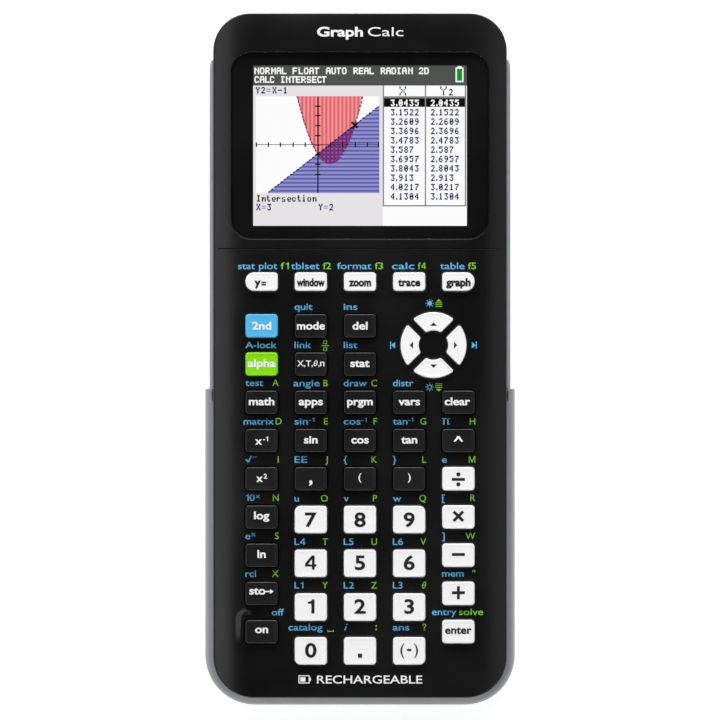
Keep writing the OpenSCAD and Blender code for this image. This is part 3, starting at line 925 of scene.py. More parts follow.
# Seven rows for each character, five dots in a row, written as two hexadecimal digits
GLYPHS = {
    "A": "0e11111f111111", "C": "0e11101010110e", "D": "1e11111111111e",
    "E": "1f10101e10101f", "F": "1f10101e101010", "I": "0e04040404040e", "L": "1010101010101f",
    "M": "111b1515111111", "N": "11191513111111", "O": "0e11111111110e", "R": "1e11111e141211",
    "S": "0e11100e01110e", "T": "1f040404040404", "U": "1111111111110e", "X": "11110a040a1111",
    "Y": "11110a04040404", "0": "0e11131519110e", "1": "040c040404040e", "2": "0e11010204081f",
    "3": "1f02040201110e", "4": "02060a121f0202", "5": "1f101e0101110e", "6": "0608101e11110e",
    "7": "1f010204080808", "8": "0e11110e11110e", "9": "0e11110f01020c", ".": "00000000001010",
    "=": "00001f001f0000", "-": "0000001f000000", "n": "00001619111111", "t": "08081c08080906",
    "e": "00000e111f100e", "r": "00001619101010", "s": "00000e100e011e", "c": "00000e1110110e",
    "i": "04000c0404040e", "o": "00000e1111110e", " ": "00000000000000",
}


def fill(x0, y0, x1, y1, colour):
    """Colour every dot from x0, y0 up to but not including x1, y1, counted from the top left."""
    for y in range(max(round(y0), 0), min(round(y1), DOTS_Y)):
        for x in range(max(round(x0), 0), min(round(x1), DOTS_X)):
            picture[y][x] = CODE[colour]


def write(text, x, y, colour, pitch=8.0, rows="0012334566", columns="01234"):
    """Write text from a top left corner. Rows and columns say how a glyph's dots spread out."""
    for letter in text:
        for down, row in enumerate(rows):
            bits = int(GLYPHS[letter][2 * int(row) : 2 * int(row) + 2], 16)
            for column, across in enumerate(columns):
                if bits >> (4 - column) & 1:
                    fill(x + int(across), y + down, x + int(across) + 2, y + down + 1, colour)
        x += pitch / 2 if letter == "." else pitch


GRAPH = (4, 46, 189, 191)
ORIGIN = (96, 118)
UNIT = (18.6, 14.5)


def upper(x):
    """The parabola in the graph."""
    return (x - 1) ** 2 - 2


def slope(x):
    """The straight line in the graph."""
    return x - 1


fill(0, 0, 320, 30, "status_grey")
write("NORMAL FLOAT AUTO REAL RADIAN 2D", 2, 3, "white", 8.2, columns="01245")
write("CALC INTERSECT", 2, 16, "white", 7.8, columns="01245")
fill(303, 3, 315, 25, "white")
fill(306, 1, 312, 3, "white")
fill(305, 5, 313, 23, "status_grey")
fill(305, 7, 313, 23, "battery_green")
fill(0, 30, 194, 240, "panel_lilac")
write("Y2=X-1", 4, 32, "navy", 8.2)
fill(*GRAPH, "white")
for dot_x in range(GRAPH[0], GRAPH[2]):
    x = (dot_x + 0.5 - ORIGIN[0]) / UNIT[0]
    for dot_y in range(GRAPH[1], GRAPH[3]):
        y = (ORIGIN[1] - dot_y - 0.5) / UNIT[1]
        above, below = y > upper(x), y < slope(x)
        if above and below:
            shade = "plum_dark" if dot_x % 6 < 3 or dot_y % 6 < 3 else "plum_light"
        elif above:
            shade = "red_dark" if dot_x % 6 < 3 else "red_light"
        elif below:
            shade = "blue_dark" if dot_y % 6 < 3 else "blue_light"
        else:
            continue
        picture[dot_y][dot_x] = CODE[shade]

# %% Curves, axes and cursor
# Both curves, dashed
for curve, ink in ((upper, "plum_dark"), (slope, "navy")):
    length, last = 0.0, None
    for step in range(4000):
        x = -5 + step / 400
        here = (ORIGIN[0] + UNIT[0] * x, ORIGIN[1] - UNIT[1] * curve(x))
        length += math.dist(here, last) if last else 0.0
        last = here
        if length % 6 < 3.5 and GRAPH[0] <= here[0] < GRAPH[2] - 2 and GRAPH[1] <= here[1] < GRAPH[3] - 1:
            fill(int(here[0]), int(here[1]), int(here[0]) + 2, int(here[1]) + 1, ink)
# Axes with a mark at each unit
fill(GRAPH[0], ORIGIN[1], GRAPH[2], ORIGIN[1] + 1, "black")
fill(ORIGIN[0], GRAPH[1], ORIGIN[0] + 2, GRAPH[3], "black")
for n in range(-5, 6):
    across, down = round(ORIGIN[0] + n * UNIT[0]), round(ORIGIN[1] + n * UNIT[1])
    across = min(max(across, GRAPH[0]), GRAPH[2] - 2)
    fill(across, ORIGIN[1] - 3, across + 2, ORIGIN[1] + 4, "black")
    if -5 < n < 4:
        fill(ORIGIN[0] - 3, down, ORIGIN[0] + 5, down + 2, "black")
# The cursor sits where the curves cross, at 3 and 2
cross_x, cross_y = round(ORIGIN[0] + 3 * UNIT[0]), round(ORIGIN[1] - 2 * UNIT[1])
for step in range(-4, 4):
    for way in (step, -step):
        fill(cross_x + step - 1, cross_y + way - 1, cross_x + step + 2, cross_y + way + 2, "black")
write("Intersection", 5, 194, "black", 7.6)
write("X=3", 5, 207, "navy")
write("Y=2", 98, 207, "navy")

# %% Table of values
fill(194, 30, 320, 240, "white")
for x in (194, 257, 317):
    fill(x, 30, x + 2, 211, "line_grey")
fill(194, 46, 319, 49, "line_grey")
fill(194, 209, 319, 211, "line_grey")
fill(196, 49, 257, 62, "black")
fill(259, 49, 317, 62, "black")
for letter, x in (("X", 219), ("Y", 280)):
    write(letter, x, 31, "navy", rows="00112233445566", columns="02468")
write("2", 293, 35, "navy")
X_VALUES = "3.0435 3.1522 3.2609 3.3696 3.4783 3.587 3.6957 3.8043 3.913 4.0217 4.1304".split()
Y_VALUES = "2.0435 2.1522 2.2609 2.3696 2.4783 2.587 2.6957 2.8043 2.913 3.0217 3.1304".split()
for row, (left, right) in enumerate(zip(X_VALUES, Y_VALUES)):
    ink = "white" if row == 0 else "navy"
    write(left, 206, 51 + 14.03 * row, ink)
    write(right, 266, 51 + 14.03 * row, ink)

# %% Gather dots into rectangles
taken = [[False] * DOTS_X for _ in range(DOTS_Y)]
tiles = []
for y in range(DOTS_Y):
    for x in range(DOTS_X):
        if taken[y][x]:
            continue
        colour, x1, y1 = picture[y][x], x, y + 1
        while x1 < DOTS_X and picture[y][x1] == colour and not taken[y][x1]:
            x1 += 1
        while y1 < DOTS_Y and picture[y1][x:x1] == [colour] * (x1 - x) and not any(taken[y1][x:x1]):
            y1 += 1
        for row in range(y, y1):
            taken[row][x:x1] = [True] * (x1 - x)
        tiles.append((x, y, x1, y1, colour))
print("tiles", len(tiles))

# %% [markdown]
# One node tree serves everything that repeats: the display's tiles, the rubber feet and the ridges of the
# battery door. It takes a cloud of points. Each point carries a size and a number that picks a material.
# The tree puts a box or a drum at each point, makes them real, and gives each its material.

# %% Copies at points
def copies_tree(materials, shape):
    """Geometry nodes that put a sized box or drum on each point and pick its material by number."""
    tree = bpy.data.node_groups.new("copies_at_points", "GeometryNodeTree")
    tree.interface.new_socket("Points", in_out="INPUT", socket_type="NodeSocketGeometry")
    tree.interface.new_socket("Size Factor", in_out="INPUT", socket_type="NodeSocketFloat")
    tree.interface.new_socket("Copies", in_out="OUTPUT", socket_type="NodeSocketGeometry")
    given = add_node(tree, "NodeGroupInput")
    if shape == "drum":
        part = add_node(tree, "GeometryNodeMeshCylinder", {"Vertices": 32, "Radius": 0.5, "Depth": 1.0})
    else:
        part = add_node(tree, "GeometryNodeMeshCube", {"Size": (1, 1, 1)})
    size = add_node(tree, "GeometryNodeInputNamedAttribute", {"Name": "part_size"}, data_type="FLOAT_VECTOR")
    scaled = add_node(tree, "ShaderNodeVectorMath", {
        0: size.outputs["Attribute"], "Scale": given.outputs["Size Factor"]}, operation="SCALE")
    copies = add_node(tree, "GeometryNodeInstanceOnPoints", {
        "Points": given.outputs["Points"], "Instance": part.outputs["Mesh"],
        "Scale": scaled.outputs["Vector"]})
    number = add_node(tree, "GeometryNodeInputNamedAttribute", {"Name": "part_kind"}, data_type="INT")
    real = add_node(tree, "GeometryNodeRealizeInstances", {"Geometry": copies.outputs["Instances"]})
    result = real.outputs["Geometry"]
    for k, material in enumerate(materials):
        picked = add_node(tree, "FunctionNodeCompare", {2: number.outputs["Attribute"], 3: k},
                          data_type="INT", operation="EQUAL")
        painted = add_node(tree, "GeometryNodeSetMaterial", {
            "Geometry": result, "Selection": picked.outputs["Result"], "Material": material})
        result = painted.outputs["Geometry"]
    add_node(tree, "NodeGroupOutput", {"Copies": result})
    return tree


def copies_mesh(name, points, sizes, kinds, materials, shape="box"):
    """A mesh of boxes or drums in millimetres, made by the node tree and kept as plain faces."""
    cloud = bpy.data.meshes.new(name + "_points")
    cloud.from_pydata([Vector(p) * MM for p in points], [], [])
    size_data = cloud.attributes.new("part_size", "FLOAT_VECTOR", "POINT").data
    size_data.foreach_set("vector", [c * MM for size in sizes for c in size])
    cloud.attributes.new("part_kind", "INT", "POINT").data.foreach_set("value", kinds)
    holder = add_object(name + "_points", cloud)
    tree = copies_tree(materials, shape)
    modifier = holder.modifiers.new("copies", "NODES")
    modifier.node_group = tree
    modifier[tree.interface.items_tree["Size Factor"].identifier] = 1.0
    mesh = bpy.data.meshes.new_from_object(holder.evaluated_get(bpy.context.evaluated_depsgraph_get()))
    mesh.name = name
    for attribute in ("part_size", "part_kind"):
        if attribute in mesh.attributes:
            mesh.attributes.remove(mesh.attributes[attribute])
    bpy.data.objects.remove(holder)
    bpy.data.node_groups.remove(tree)
    return mesh


def place_copies(name, points, sizes, kinds, materials, body, shape="box", bevel_mm=0.0):
    """Copies at points as a piece that rides on a body."""
    mesh = copies_mesh(name, points, sizes, kinds, materials, shape)
    piece = add_object(name, mesh)
    if bevel_mm:
        bevel = piece.modifiers.new("moulded edges", "BEVEL")
        bevel.width = bevel_mm * MM
        bevel.segments = 3
        bevel.harden_normals = True
        for polygon in mesh.polygons:
            polygon.use_smooth = True
    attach(piece, body)
    return piece


# %% The lit picture
GLOW = 1.07


def lit_colour(name, colour):
    """A display dot: it glows with its own colour and mirrors nothing."""
    material, tree = new_material("lcd_dot_" + name)
    surface = add_node(tree, "ShaderNodeBsdfPrincipled", {
        "Base Color": (0, 0, 0, 1), "Roughness": 1.0, "Specular IOR Level": 0.0,
        "Emission Color": linear(colour), "Emission Strength": GLOW})
    add_node(tree, "ShaderNodeOutputMaterial", {"Surface": surface.outputs["BSDF"]})
    return material


lit_materials = [lit_colour(name, colour) for name, colour in COLOURS.items()]
DOT = LIT[0] / DOTS_X
TILE_T = 0.04
left, top, level = PANE_C[0] - LIT[0] / 2, PANE_C[1] + LIT[1] / 2, box_mm("display_module")[1].z + TILE_T
tile_points = [(left + DOT * (x0 + x1) / 2, top - DOT * (y0 + y1) / 2, level) for x0, y0, x1, y1, _ in tiles]
tile_sizes = [(DOT * (x1 - x0), DOT * (y1 - y0), TILE_T) for x0, y0, x1, y1, _ in tiles]
tile_kinds = [tile[-1] for tile in tiles]
lit_picture = place_copies("lcd_lit_picture", tile_points, tile_sizes, tile_kinds, lit_materials,
                           "calculator")
print("lit picture faces", len(lit_picture.data.polygons))

# %% [markdown]
# ## Feet and grip
#
# Four rubber feet keep the back of the case off the cover's floor, and five low ribs on the battery door give
# a thumbnail something to push against.

# %% Feet and ribs
foot_rubber = moulded_plastic("black_rubber_moulded", "#1c1c1d", 0.72, 0.6, 0.02)
feet = [(x, y, rear_low.z - 0.13) for x in (-24, 24) for y in (-72, 79)]
place_copies("rubber_feet", feet, [(8, 8, 0.5)] * 4, [0] * 4, [foot_rubber], "calculator", "drum",
             0.1)
ribs = [(0, box_mm("battery_door")[0].y + 10 + 1.3 * k, rear_low.z - 0.02) for k in range(5)]
place_copies("battery_door_ribs", ribs, [(14, 0.6, 0.4)] * 5, [0] * 5, [rear_plastic], "calculator", "box",
             0.12)

# %% [markdown]
# ## Inside the case
#
# Board and display are made of several materials each, key mat, cell and screws of one. Every loose part of
# a CAD node is found by walking from face to face, and its place tells what it is: a chip under the board is
# epoxy, the charging socket is a folded steel shell, the flat cable is amber polyimide film.

# %% Materials by loose part
solder_mask = moulded_plastic("green_solder_mask_printed", "#1f6b3a", 0.28, 0.8, 0.01)
chip_epoxy = moulded_plastic("black_epoxy_moulded", "#1a1a1b", 0.55)
gold_contact = moulded_plastic("gold_plated_bronze_stamped", "#d8b060", 0.3, metal=1.0)
steel_shell = moulded_plastic("nickel_plated_steel_stamped", "#c8c9c6", 0.3, metal=1.0)
silicone = moulded_plastic("grey_silicone_moulded", "#9aa0a6", 0.55, 0.6, 0.01)
panel_glass = moulded_plastic("dark_panel_glass_polished", "#20262c", 0.08, 0.4, 0.0005)
foam = moulded_plastic("black_foam_cut", "#2a2a2b", 0.9, 0.5, 0.08)
polyimide = moulded_plastic("amber_polyimide_film", "#c87828", 0.3)
pouch_wrap = moulded_plastic("blue_pouch_wrap_heat_shrunk", "#3a6ea8", 0.35, 3.0, 0.05)
screw_steel = moulded_plastic("zinc_plated_steel_machined", "#8c9094", 0.32, metal=1.0)


def board_kind(low, high):
    """Which of the board's materials a loose part has, told by its place and size."""
    if high.z - low.z > 1.0 and high.x > 33:
        return 3
    if high.x - low.x > 50:
        return 0
    if abs(low.y - 62) < 1 or abs(high.y - 64) < 0.5 and high.x - low.x < 3:
        return 2
    return 3 if low.x > 20 else 1


def display_kind(low, high):
    """Which of the display's materials a loose part has, told by its place and size."""
    if high.y - low.y < 3:
        return 3
    if high.y - low.y < 5:
        return 2
    return 0 if low.z < 13 else 1 if low.z < 14 else 4


def coloured_copy(node, name, materials, kind, bevel_mm=0.08):
    """A rounded copy of a CAD node whose loose parts get materials by their place."""
    piece = rounded_copy(node, name, materials[0], bevel_mm, "calculator")
    for material in materials[1:]:
        piece.data.materials.append(material)
    shape = bmesh.new()
    shape.from_mesh(piece.data)
    seen, parts = set(), 0
    for start in shape.faces:
        if start in seen:
            continue
        group, edge_of = [], [start]
        seen.add(start)
        while edge_of:
            face = edge_of.pop()
            group.append(face)
            for edge in face.edges:
                for other in edge.link_faces:
                    if other not in seen:
                        seen.add(other)
                        edge_of.append(other)
        corners = [v.co / MM for face in group for v in face.verts]
        low = Vector([min(c[k] for c in corners) for k in range(3)])
        high = Vector([max(c[k] for c in corners) for k in range(3)])
        for face in group:
            face.material_index = kind(low, high)
        parts += 1
    shape.to_mesh(piece.data)
    shape.free()
    print(name, "loose parts", parts)
    return piece


coloured_copy("main_board", "main_board_assembly", [solder_mask, chip_epoxy, gold_contact, steel_shell],
              board_kind, 0.06)
coloured_copy("display_module", "display_panel", [steel_shell, panel_glass, foam, polyimide, black_ink],
              display_kind, 0.05)
for node, name, material, slot, bevel_mm in (
        ("key_mat", "silicone_key_mat", silicone, "silicone", 0.06),
        ("battery_pack", "battery_cell", pouch_wrap, "battery_wrap", 0.5),
        ("screws", "case_screws", screw_steel, "screw_steel", 0.06)):
    coloured_copy(node, name, [material], lambda low, high: 0, bevel_mm)

# %% [markdown]
# ## Lettering
#
# Legends on keys and case are pad printed: a silicone pad carries a film of ink about 0.01 mm thick. Each
# word is outline text turned into a thin mesh, so it stays sharp at any distance and follows the face where
# it rolls off. A picture of the text would blur and would need a file. Words on one key ride with that key.

# %% Words as meshes
BOLD, MEDIUM, LIGHT = 0.026, 0.008, 0.0


def flat_glyph(outline, hole=()):
    """A glyph from its outline, or a ring from an outline and a hole with as many points."""
    points, polygons = [], []
    loops = [outline, outline, hole, hole] if hole else [outline, outline]
    heights = (-0.5, 0.5, 0.5, -0.5)
    rings = [[(x, y, z) for x, y in loop] for loop, z in zip(loops, heights)]
    join_rings(points, polygons, rings + rings[:1] if hole else rings, not hole, not hole)
    return points, polygons


def several(*parts):
    """Several glyph parts as one."""
    points, polygons = [], []
    for part_points, part_faces in parts:
        polygons += [tuple(len(points) + i for i in face) for face in part_faces]
        points += part_points
    return points, polygons


def block(x0, y0, x1, y1, lean=0.0):
    """An upright bar, or one that leans to the right."""
    return flat_glyph([(x + lean * y, y) for x, y in ((x0, y0), (x1, y0), (x1, y1), (x0, y1))])


def one_glyph(bold):
    """A one with a flag, which the built-in font draws as a plain bar."""
    left, right = 0.2 - bold, 0.285 + bold
    return flat_glyph([(left, 0), (right, 0), (right, 0.7), (0.215, 0.7), (0.16, 0.61), (0.03, 0.575),
                       (0.03, 0.505 - bold), (left, 0.505 - bold)])


def four_glyph(bold):
    """A four with a closed top. Every corner of the outline is paired with a corner of the hole."""
    t, bar = bold, 0.235 + bold
    outline = [(0.29, 0), (0.375 + t, 0), (0.375 + t, 0.155), (0.48, 0.155), (0.48, bar), (0.375 + t, bar),
               (0.375 + t, 0.7), (0.28, 0.7), (0, 0.27 + t), (0, 0.155), (0.29, 0.155)]
    left, right, top = (0.098 + 0.65 * t, bar), (0.29, bar), (0.29, 0.53)
    return flat_glyph(outline, [right] * 6 + [top] * 2 + [left] * 2 + [right])


def m_glyph(bold):
    """A capital M, whose strokes the built-in font lets cross."""
    thick = 0.085 + bold
    return flat_glyph([(0, 0), (thick, 0), (thick, 0.52), (0.31, 0), (0.39, 0), (0.7 - thick, 0.52),
                       (0.7 - thick, 0), (0.7, 0), (0.7, 0.7), (0.58, 0.7), (0.35, 0.16), (0.12, 0.7),
                       (0, 0.7)])


def question_glyph(bold):
    """A question mark: a hook of even thickness and a square dot."""
    path = [(0.05, 0.48), (0.07, 0.58), (0.14, 0.65), (0.23, 0.66), (0.32, 0.62), (0.36, 0.53), (0.33, 0.44),
            (0.25, 0.36), (0.21, 0.29), (0.21, 0.19)]
    half = 0.048 + bold / 2
    sides = ([], [])
    for k, (x, y) in enumerate(path):
        (x0, y0), (x1, y1) = path[max(k - 1, 0)], path[min(k + 1, len(path) - 1)]
        length = math.hypot(x1 - x0, y1 - y0)
        for side, sign in zip(sides, (1, -1)):
            side.append((x - sign * (y1 - y0) / length * half, y + sign * (x1 - x0) / length * half))
    return several(flat_glyph((sides[0] + sides[1][::-1])[::-1]), block(0.16, 0, 0.26, 0.1))


def theta_glyph(bold):
    """A slanted ring with a bar."""
    turn = [2 * math.pi * k / 24 for k in range(24)]
    thick = 0.075 + bold

    def oval(inset):
        ring = [((0.21 - inset) * math.cos(a), 0.35 + (0.36 - inset) * math.sin(a)) for a in turn]
        return [(0.24 + x + 0.2 * (y - 0.35), y) for x, y in ring]

    return several(flat_glyph(oval(0), oval(thick)), block(0.03 + thick, 0.31, 0.45 - thick, 0.39))


OWN_GLYPHS = {
    "1": one_glyph, "4": four_glyph, "M": m_glyph, "?": question_glyph, "θ": theta_glyph,
    ":": lambda bold: several(block(0.06, 0.02, 0.22, 0.18), block(0.06, 0.38, 0.22, 0.54)),
    "=": lambda bold: several(block(0, 0.06, 0.42, 0.14 + bold), block(0, 0.27, 0.42, 0.35 + bold)),
    '"': lambda bold: several(block(0, 0.45, 0.09, 0.7), block(0.2, 0.45, 0.29, 0.7)),
    "ı": lambda bold: several(block(0.06, 0, 0.16, 0.44, 0.25), block(0.1, 0.56, 0.21, 0.68, 0.2)),
}


@functools.cache
def word_mesh(text, bold, slant=0.0):
    """Outline text of size one as points and faces, starting at x = 0."""
    if text in OWN_GLYPHS:
        return OWN_GLYPHS[text](bold)
    curve = bpy.data.curves.new("word", "FONT")
    curve.body = text
    curve.offset = bold
    curve.shear = slant
    curve.resolution_u = 4
    curve.extrude = 0.5
    holder = add_object("word", curve)
    mesh = bpy.data.meshes.new_from_object(holder.evaluated_get(bpy.context.evaluated_depsgraph_get()))
    points = [tuple(v.co) for v in mesh.vertices]
    polygons = [tuple(p.vertices) for p in mesh.polygons]
    bpy.data.objects.remove(holder)
    bpy.data.curves.remove(curve)
    bpy.data.meshes.remove(mesh)
    start = min(p[0] for p in points)
    return [(x - start, y, z) for x, y, z in points], polygons


INK = (-0.04, 0.01)
LETTER_GAP = 0.07


class Print:
    """Words of one ink, gathered into one piece."""

    def __init__(self):
        self.verts, self.faces = [], []

    def word(self, runs, place, size, bold=MEDIUM, width=None, align=0.0, stretch=1.2, level=None, slant=0.0,
             ink_mm=INK):
        """Add a word. Runs are text, or (text, scale, rise) for raised parts. Align 0 is left, 1 is right."""
        runs = [(runs, 1.0, 0.0)] if isinstance(runs, str) else runs
        runs = [(part, scale, rise) for text, scale, rise in runs
                for part in re.split('([14M?θ="ı:])', text) if part]
        across, points, polygons = 0.0, [], []
        for text, scale, rise in runs:
            part, part_faces = word_mesh(text, bold, slant)
            polygons += [tuple(len(points) + i for i in face) for face in part_faces]
            points += [(across + x * scale, y * scale + rise, z) for x, y, z in part]
            across = max(p[0] for p in points) + LETTER_GAP
        natural = (across - LETTER_GAP) * size
        stretch = width / natural if width else stretch
        left = place[0] - align * natural * stretch
        start = len(self.verts)
        for x, y, z in points:
            px, py = left + x * size * stretch, place[1] + y * size
            self.verts.append((px, py, level(px, py) + ink_mm[1 if z > 0 else 0]))
        self.faces += [tuple(start + i for i in face) for face in polygons]
        return natural * stretch

    def shape(self, outline, level, ink_mm=INK):
        """Add a small printed shape from a counter-clockwise outline."""
        rings = [[(x, y, level(x, y) + z) for x, y in outline] for z in ink_mm]
        join_rings(self.verts, self.faces, rings)

    def bar(self, x0, y0, x1, y1, level):
        """Add an upright rectangle."""
        self.shape([(x0, y0), (x1, y0), (x1, y1), (x0, y1)], level)

    def piece(self, name, ink, body):
        """Make the gathered words one piece."""
        return make_piece(name, self.verts, self.faces, ink, body, sharp=30)


# %% Legends on the keys
SUPER = 0.62
KEY_WORDS = {
    "key_y_equals": "y=", "key_window": "window", "key_zoom": "zoom", "key_trace": "trace",
    "key_graph": "graph", "key_second": "2nd", "key_mode": "mode", "key_delete": "del", "key_alpha": "alpha",
    "key_variable": [("X,T,θ,", 1, 0), ("n", 1.2, 0)], "key_stat": "stat", "key_math": "math",
    "key_apps": "apps", "key_program": "prgm", "key_vars": "vars", "key_clear": "clear",
    "key_inverse": [("x", 1, 0), ("-1", SUPER, 0.3)], "key_sine": "sin", "key_cosine": "cos",
    "key_tangent": "tan", "key_square": [("x", 1, 0), ("2", SUPER, 0.3)], "key_log": "log", "key_ln": "ln",
    "key_store": "sto", "key_on": "on", "key_enter": "enter",
}
KEY_WIDTHS = {
    "key_mode": 7.6, "key_delete": 4.1, "key_alpha": 7.5, "key_second": 5.2, "key_math": 6.9, "key_apps": 6.5,
    "key_program": 6.9, "key_stat": 5.2, "key_variable": 7.35, "key_window": 7.7, "key_graph": 6.6,
    "key_trace": 6.0, "key_zoom": 6.0, "key_enter": 7.2, "key_clear": 6.9, "key_negative": 4.75,
    "key_y_equals": 3.1, "key_square": 2.9, "key_inverse": 3.5,
}
# Legends sit a little above the middle of the lower keys, and a little below it in the top row
TOP_KEYS = ("key_y_equals", "key_window", "key_zoom", "key_trace", "key_graph")
RISE = {
    "key_log": 0.4, "key_ln": 0.3, "key_store": 0.75, "key_on": 0.65, "key_enter": 0.45, "key_point": 0.6,
    "key_negative": 0.3, "key_inverse": -0.1, "key_square": 0.15, "key_divide": -0.15,
    **dict.fromkeys(("key_7", "key_8", "key_9", "key_second", "key_mode", "key_delete"), 0.0),
    **dict.fromkeys(TOP_KEYS, -0.2),
}
# Words set off the middle of their keys, towards the left
NUDGE = {"key_store": 1.15, "key_y_equals": 0.4, "key_clear": 0.25}
# Signs: text, size, drop of the baseline below the middle, boldness, stretch
KEY_SIGNS = {
    "key_comma": (",", 4.9, 1.35, BOLD, 1.0), "key_open_bracket": ("(", 2.75, 0.65, MEDIUM, 1.1),
    "key_close_bracket": (")", 2.75, 0.65, MEDIUM, 1.1), "key_negative": ("(  )", 4.3, 1.25, 0.002, 1.0),
}
for digit in "0123456789":
    KEY_SIGNS["key_" + digit] = (digit, 5.35, 1.85, 0.022, 1.2)


def turned(points, degrees, x=0.0, y=0.0):
    """Points turned round the origin, then moved."""
    c, s = math.cos(math.radians(degrees)), math.sin(math.radians(degrees))
    return [(x + c * u - s * v, y + s * u + c * v) for u, v in points]


def tilted_bar(x, y, length, width, degrees):
    """Outline of a bar round a point."""
    u, v = length / 2, width / 2
    return turned([(-u, -v), (u, -v), (u, v), (-u, v)], degrees, x, y)


def disc(x, y, r, count=20):
    """Outline of a dot."""
    turns = [2 * math.pi * k / count for k in range(count)]
    return [(x + r * math.cos(a), y + r * math.sin(a)) for a in turns]


def cross(half, width, degrees):
    """Outline of a plus sign, turned."""
    w = width / 2
    arm = [(half, -w), (half, w), (w, w)]
    return turned([(u * p - v * q, v * p + u * q) for u, v in WAYS for p, q in arm], degrees)


# Signs drawn as shapes round the key's middle
STROKE, ARM, DOT_R = 0.74, 3.5, 0.54
BAR = tilted_bar(0, 0, ARM, STROKE, 0)
DRAWN = {
    "key_power": [[(-1.3, -0.5), (-0.72, -0.5), (0, 0.38), (0.72, -0.5), (1.3, -0.5), (0.28, 0.98),
                   (-0.28, 0.98)]],
    "key_divide": [BAR, disc(0, 1.35, DOT_R), disc(0, -1.35, DOT_R)],
    "key_multiply": [cross(1.8, STROKE, 45)],
    "key_minus": [BAR],
    "key_plus": [cross(ARM / 2, STROKE, 0)],
    "key_negative": [tilted_bar(0, 0, 1.15, 0.55, 0)],
    "key_point": [tilted_bar(0, -1.85, 1.1, 1.1, 0)],
    "key_store": [tilted_bar(1.65, -0.2, 1.2, 0.36, 0), [(2.25, -0.85), (3.2, -0.2), (2.25, 0.45)]],
}


def key_top(node):
    """The level that ink on a key's dished top is laid on."""
    top = box_mm(node)[1].z - KEY_DISH
    return lambda x, y: top


DISH_INK = (INK[0], 0.065)
for node in CAP_KEYS:
    ink = dark_ink if key_finish(node)[0] is white_key_plastic else white_ink
    (x, y), _ = cap_size(node)
    y += RISE.get(node, 0.22)
    words, level, width = Print(), key_top(node), KEY_WIDTHS.get(node)
    if node in KEY_WORDS:
        size, bold, drop = (2.25, MEDIUM, 0.8) if node == "key_variable" else (2.91, BOLD, 0.95)
        if node in TOP_KEYS:
            bold = 0.036 if node == "key_trace" else 0.044
        words.word(KEY_WORDS[node], (x - NUDGE.get(node, 0), y - drop), size, bold, width, 0.5, level=level,
                   ink_mm=DISH_INK)
    if node in KEY_SIGNS:
        text, size, drop, bold, stretch = KEY_SIGNS[node]
        words.word(text, (x, y - drop), size, bold, width, 0.5, stretch, level, ink_mm=DISH_INK)
    for outline in DRAWN.get(node, []):
        words.shape([(x + u, y + v) for u, v in outline], level, DISH_INK)
    words.piece("legend_" + node, ink, node)
for turn, node in enumerate(ARROWS):
    start = 5.2 if turn % 2 else 5.5
    tip = turned([(start, -0.95), (start + 0.9, 0), (start, 0.95)], 90 * turn, *RING_C)
    words = Print()
    words.shape(tip, key_top(node))
    words.piece("legend_" + node, dark_ink, node)

# %% Legends on the case
CASE_SIZE = 2.55
INVERSE = ("-1", SUPER, 0.3)
RAISED_X = ("x", 0.75, 0.3)
CAPTIONS = {
    "key_mode": ("quit", ""), "key_delete": ("ins", ""), "key_alpha": ("A-lock", ""),
    "key_variable": ("link", ""), "key_stat": ("list", ""), "key_math": ("test", "A"),
    "key_apps": ("angle", "B"), "key_program": ("draw", "C"), "key_vars": ("distr", ""),
    "key_inverse": ("matrix", "D"), "key_sine": ([("sin", 1, 0), INVERSE], "E"),
    "key_cosine": ([("cos", 1, 0), INVERSE], "F"), "key_tangent": ([("tan", 1, 0), INVERSE], "G"),
    "key_power": ([("π", 1.2, 0)], "H"), "key_square": ("√", "I"), "key_comma": ("EE", "J"),
    "key_open_bracket": ("{", "K"), "key_close_bracket": ("}", "L"), "key_divide": ("e", "M"),
    "key_log": ([("10", 1, 0), RAISED_X], "N"), "key_7": ("u", "O"), "key_8": ("v", "P"),
    "key_9": ("w", "Q"), "key_multiply": ("[", "R"), "key_ln": ([("e", 1, 0), RAISED_X], "S"),
    "key_4": ("L4", "T"), "key_5": ("L5", "U"), "key_6": ("L6", "V"), "key_minus": ("]", "W"),
    "key_store": ("rcl", "X"), "key_1": ("L1", "Y"), "key_2": ("L2", "Z"), "key_3": ("L3", "θ"),
    "key_plus": ("mem", '"'), "key_0": ("catalog", "⎵"), "key_point": ("ı", ":"),
    "key_negative": ("ans", "?"),
}
LEFT_SHIFT = {"key_inverse": -0.55, "key_0": -1.7, "key_apps": -0.35}
RIGHT_SHIFT = {"key_inverse": 1.0, "key_0": 1.8, "key_plus": 0.2}
CAPTION_RISE = {
    **dict.fromkeys(("key_0", "key_point", "key_negative"), 0.75), "key_plus": 0.3,
    **dict.fromkeys(("key_1", "key_2", "key_3", "key_store"), 0.25),
    **dict.fromkeys(("key_4", "key_5", "key_6", "key_math"), 0.2),
}
WORD_WIDTHS = {
    "quit": 4.85, "ins": 3.7, "A-lock": 8.4, "link": 4.5, "list": 3.7, "test": 4.8, "angle": 7.1, "draw": 6.3,
    "catalog": 9.2, "ans": 4.45, "key_sine": 5.35, "key_cosine": 6.2, "key_tangent": 5.5, "EE": 3.4,
    "matrix": 8.2,
}
blue, green, white = Print(), Print(), Print()
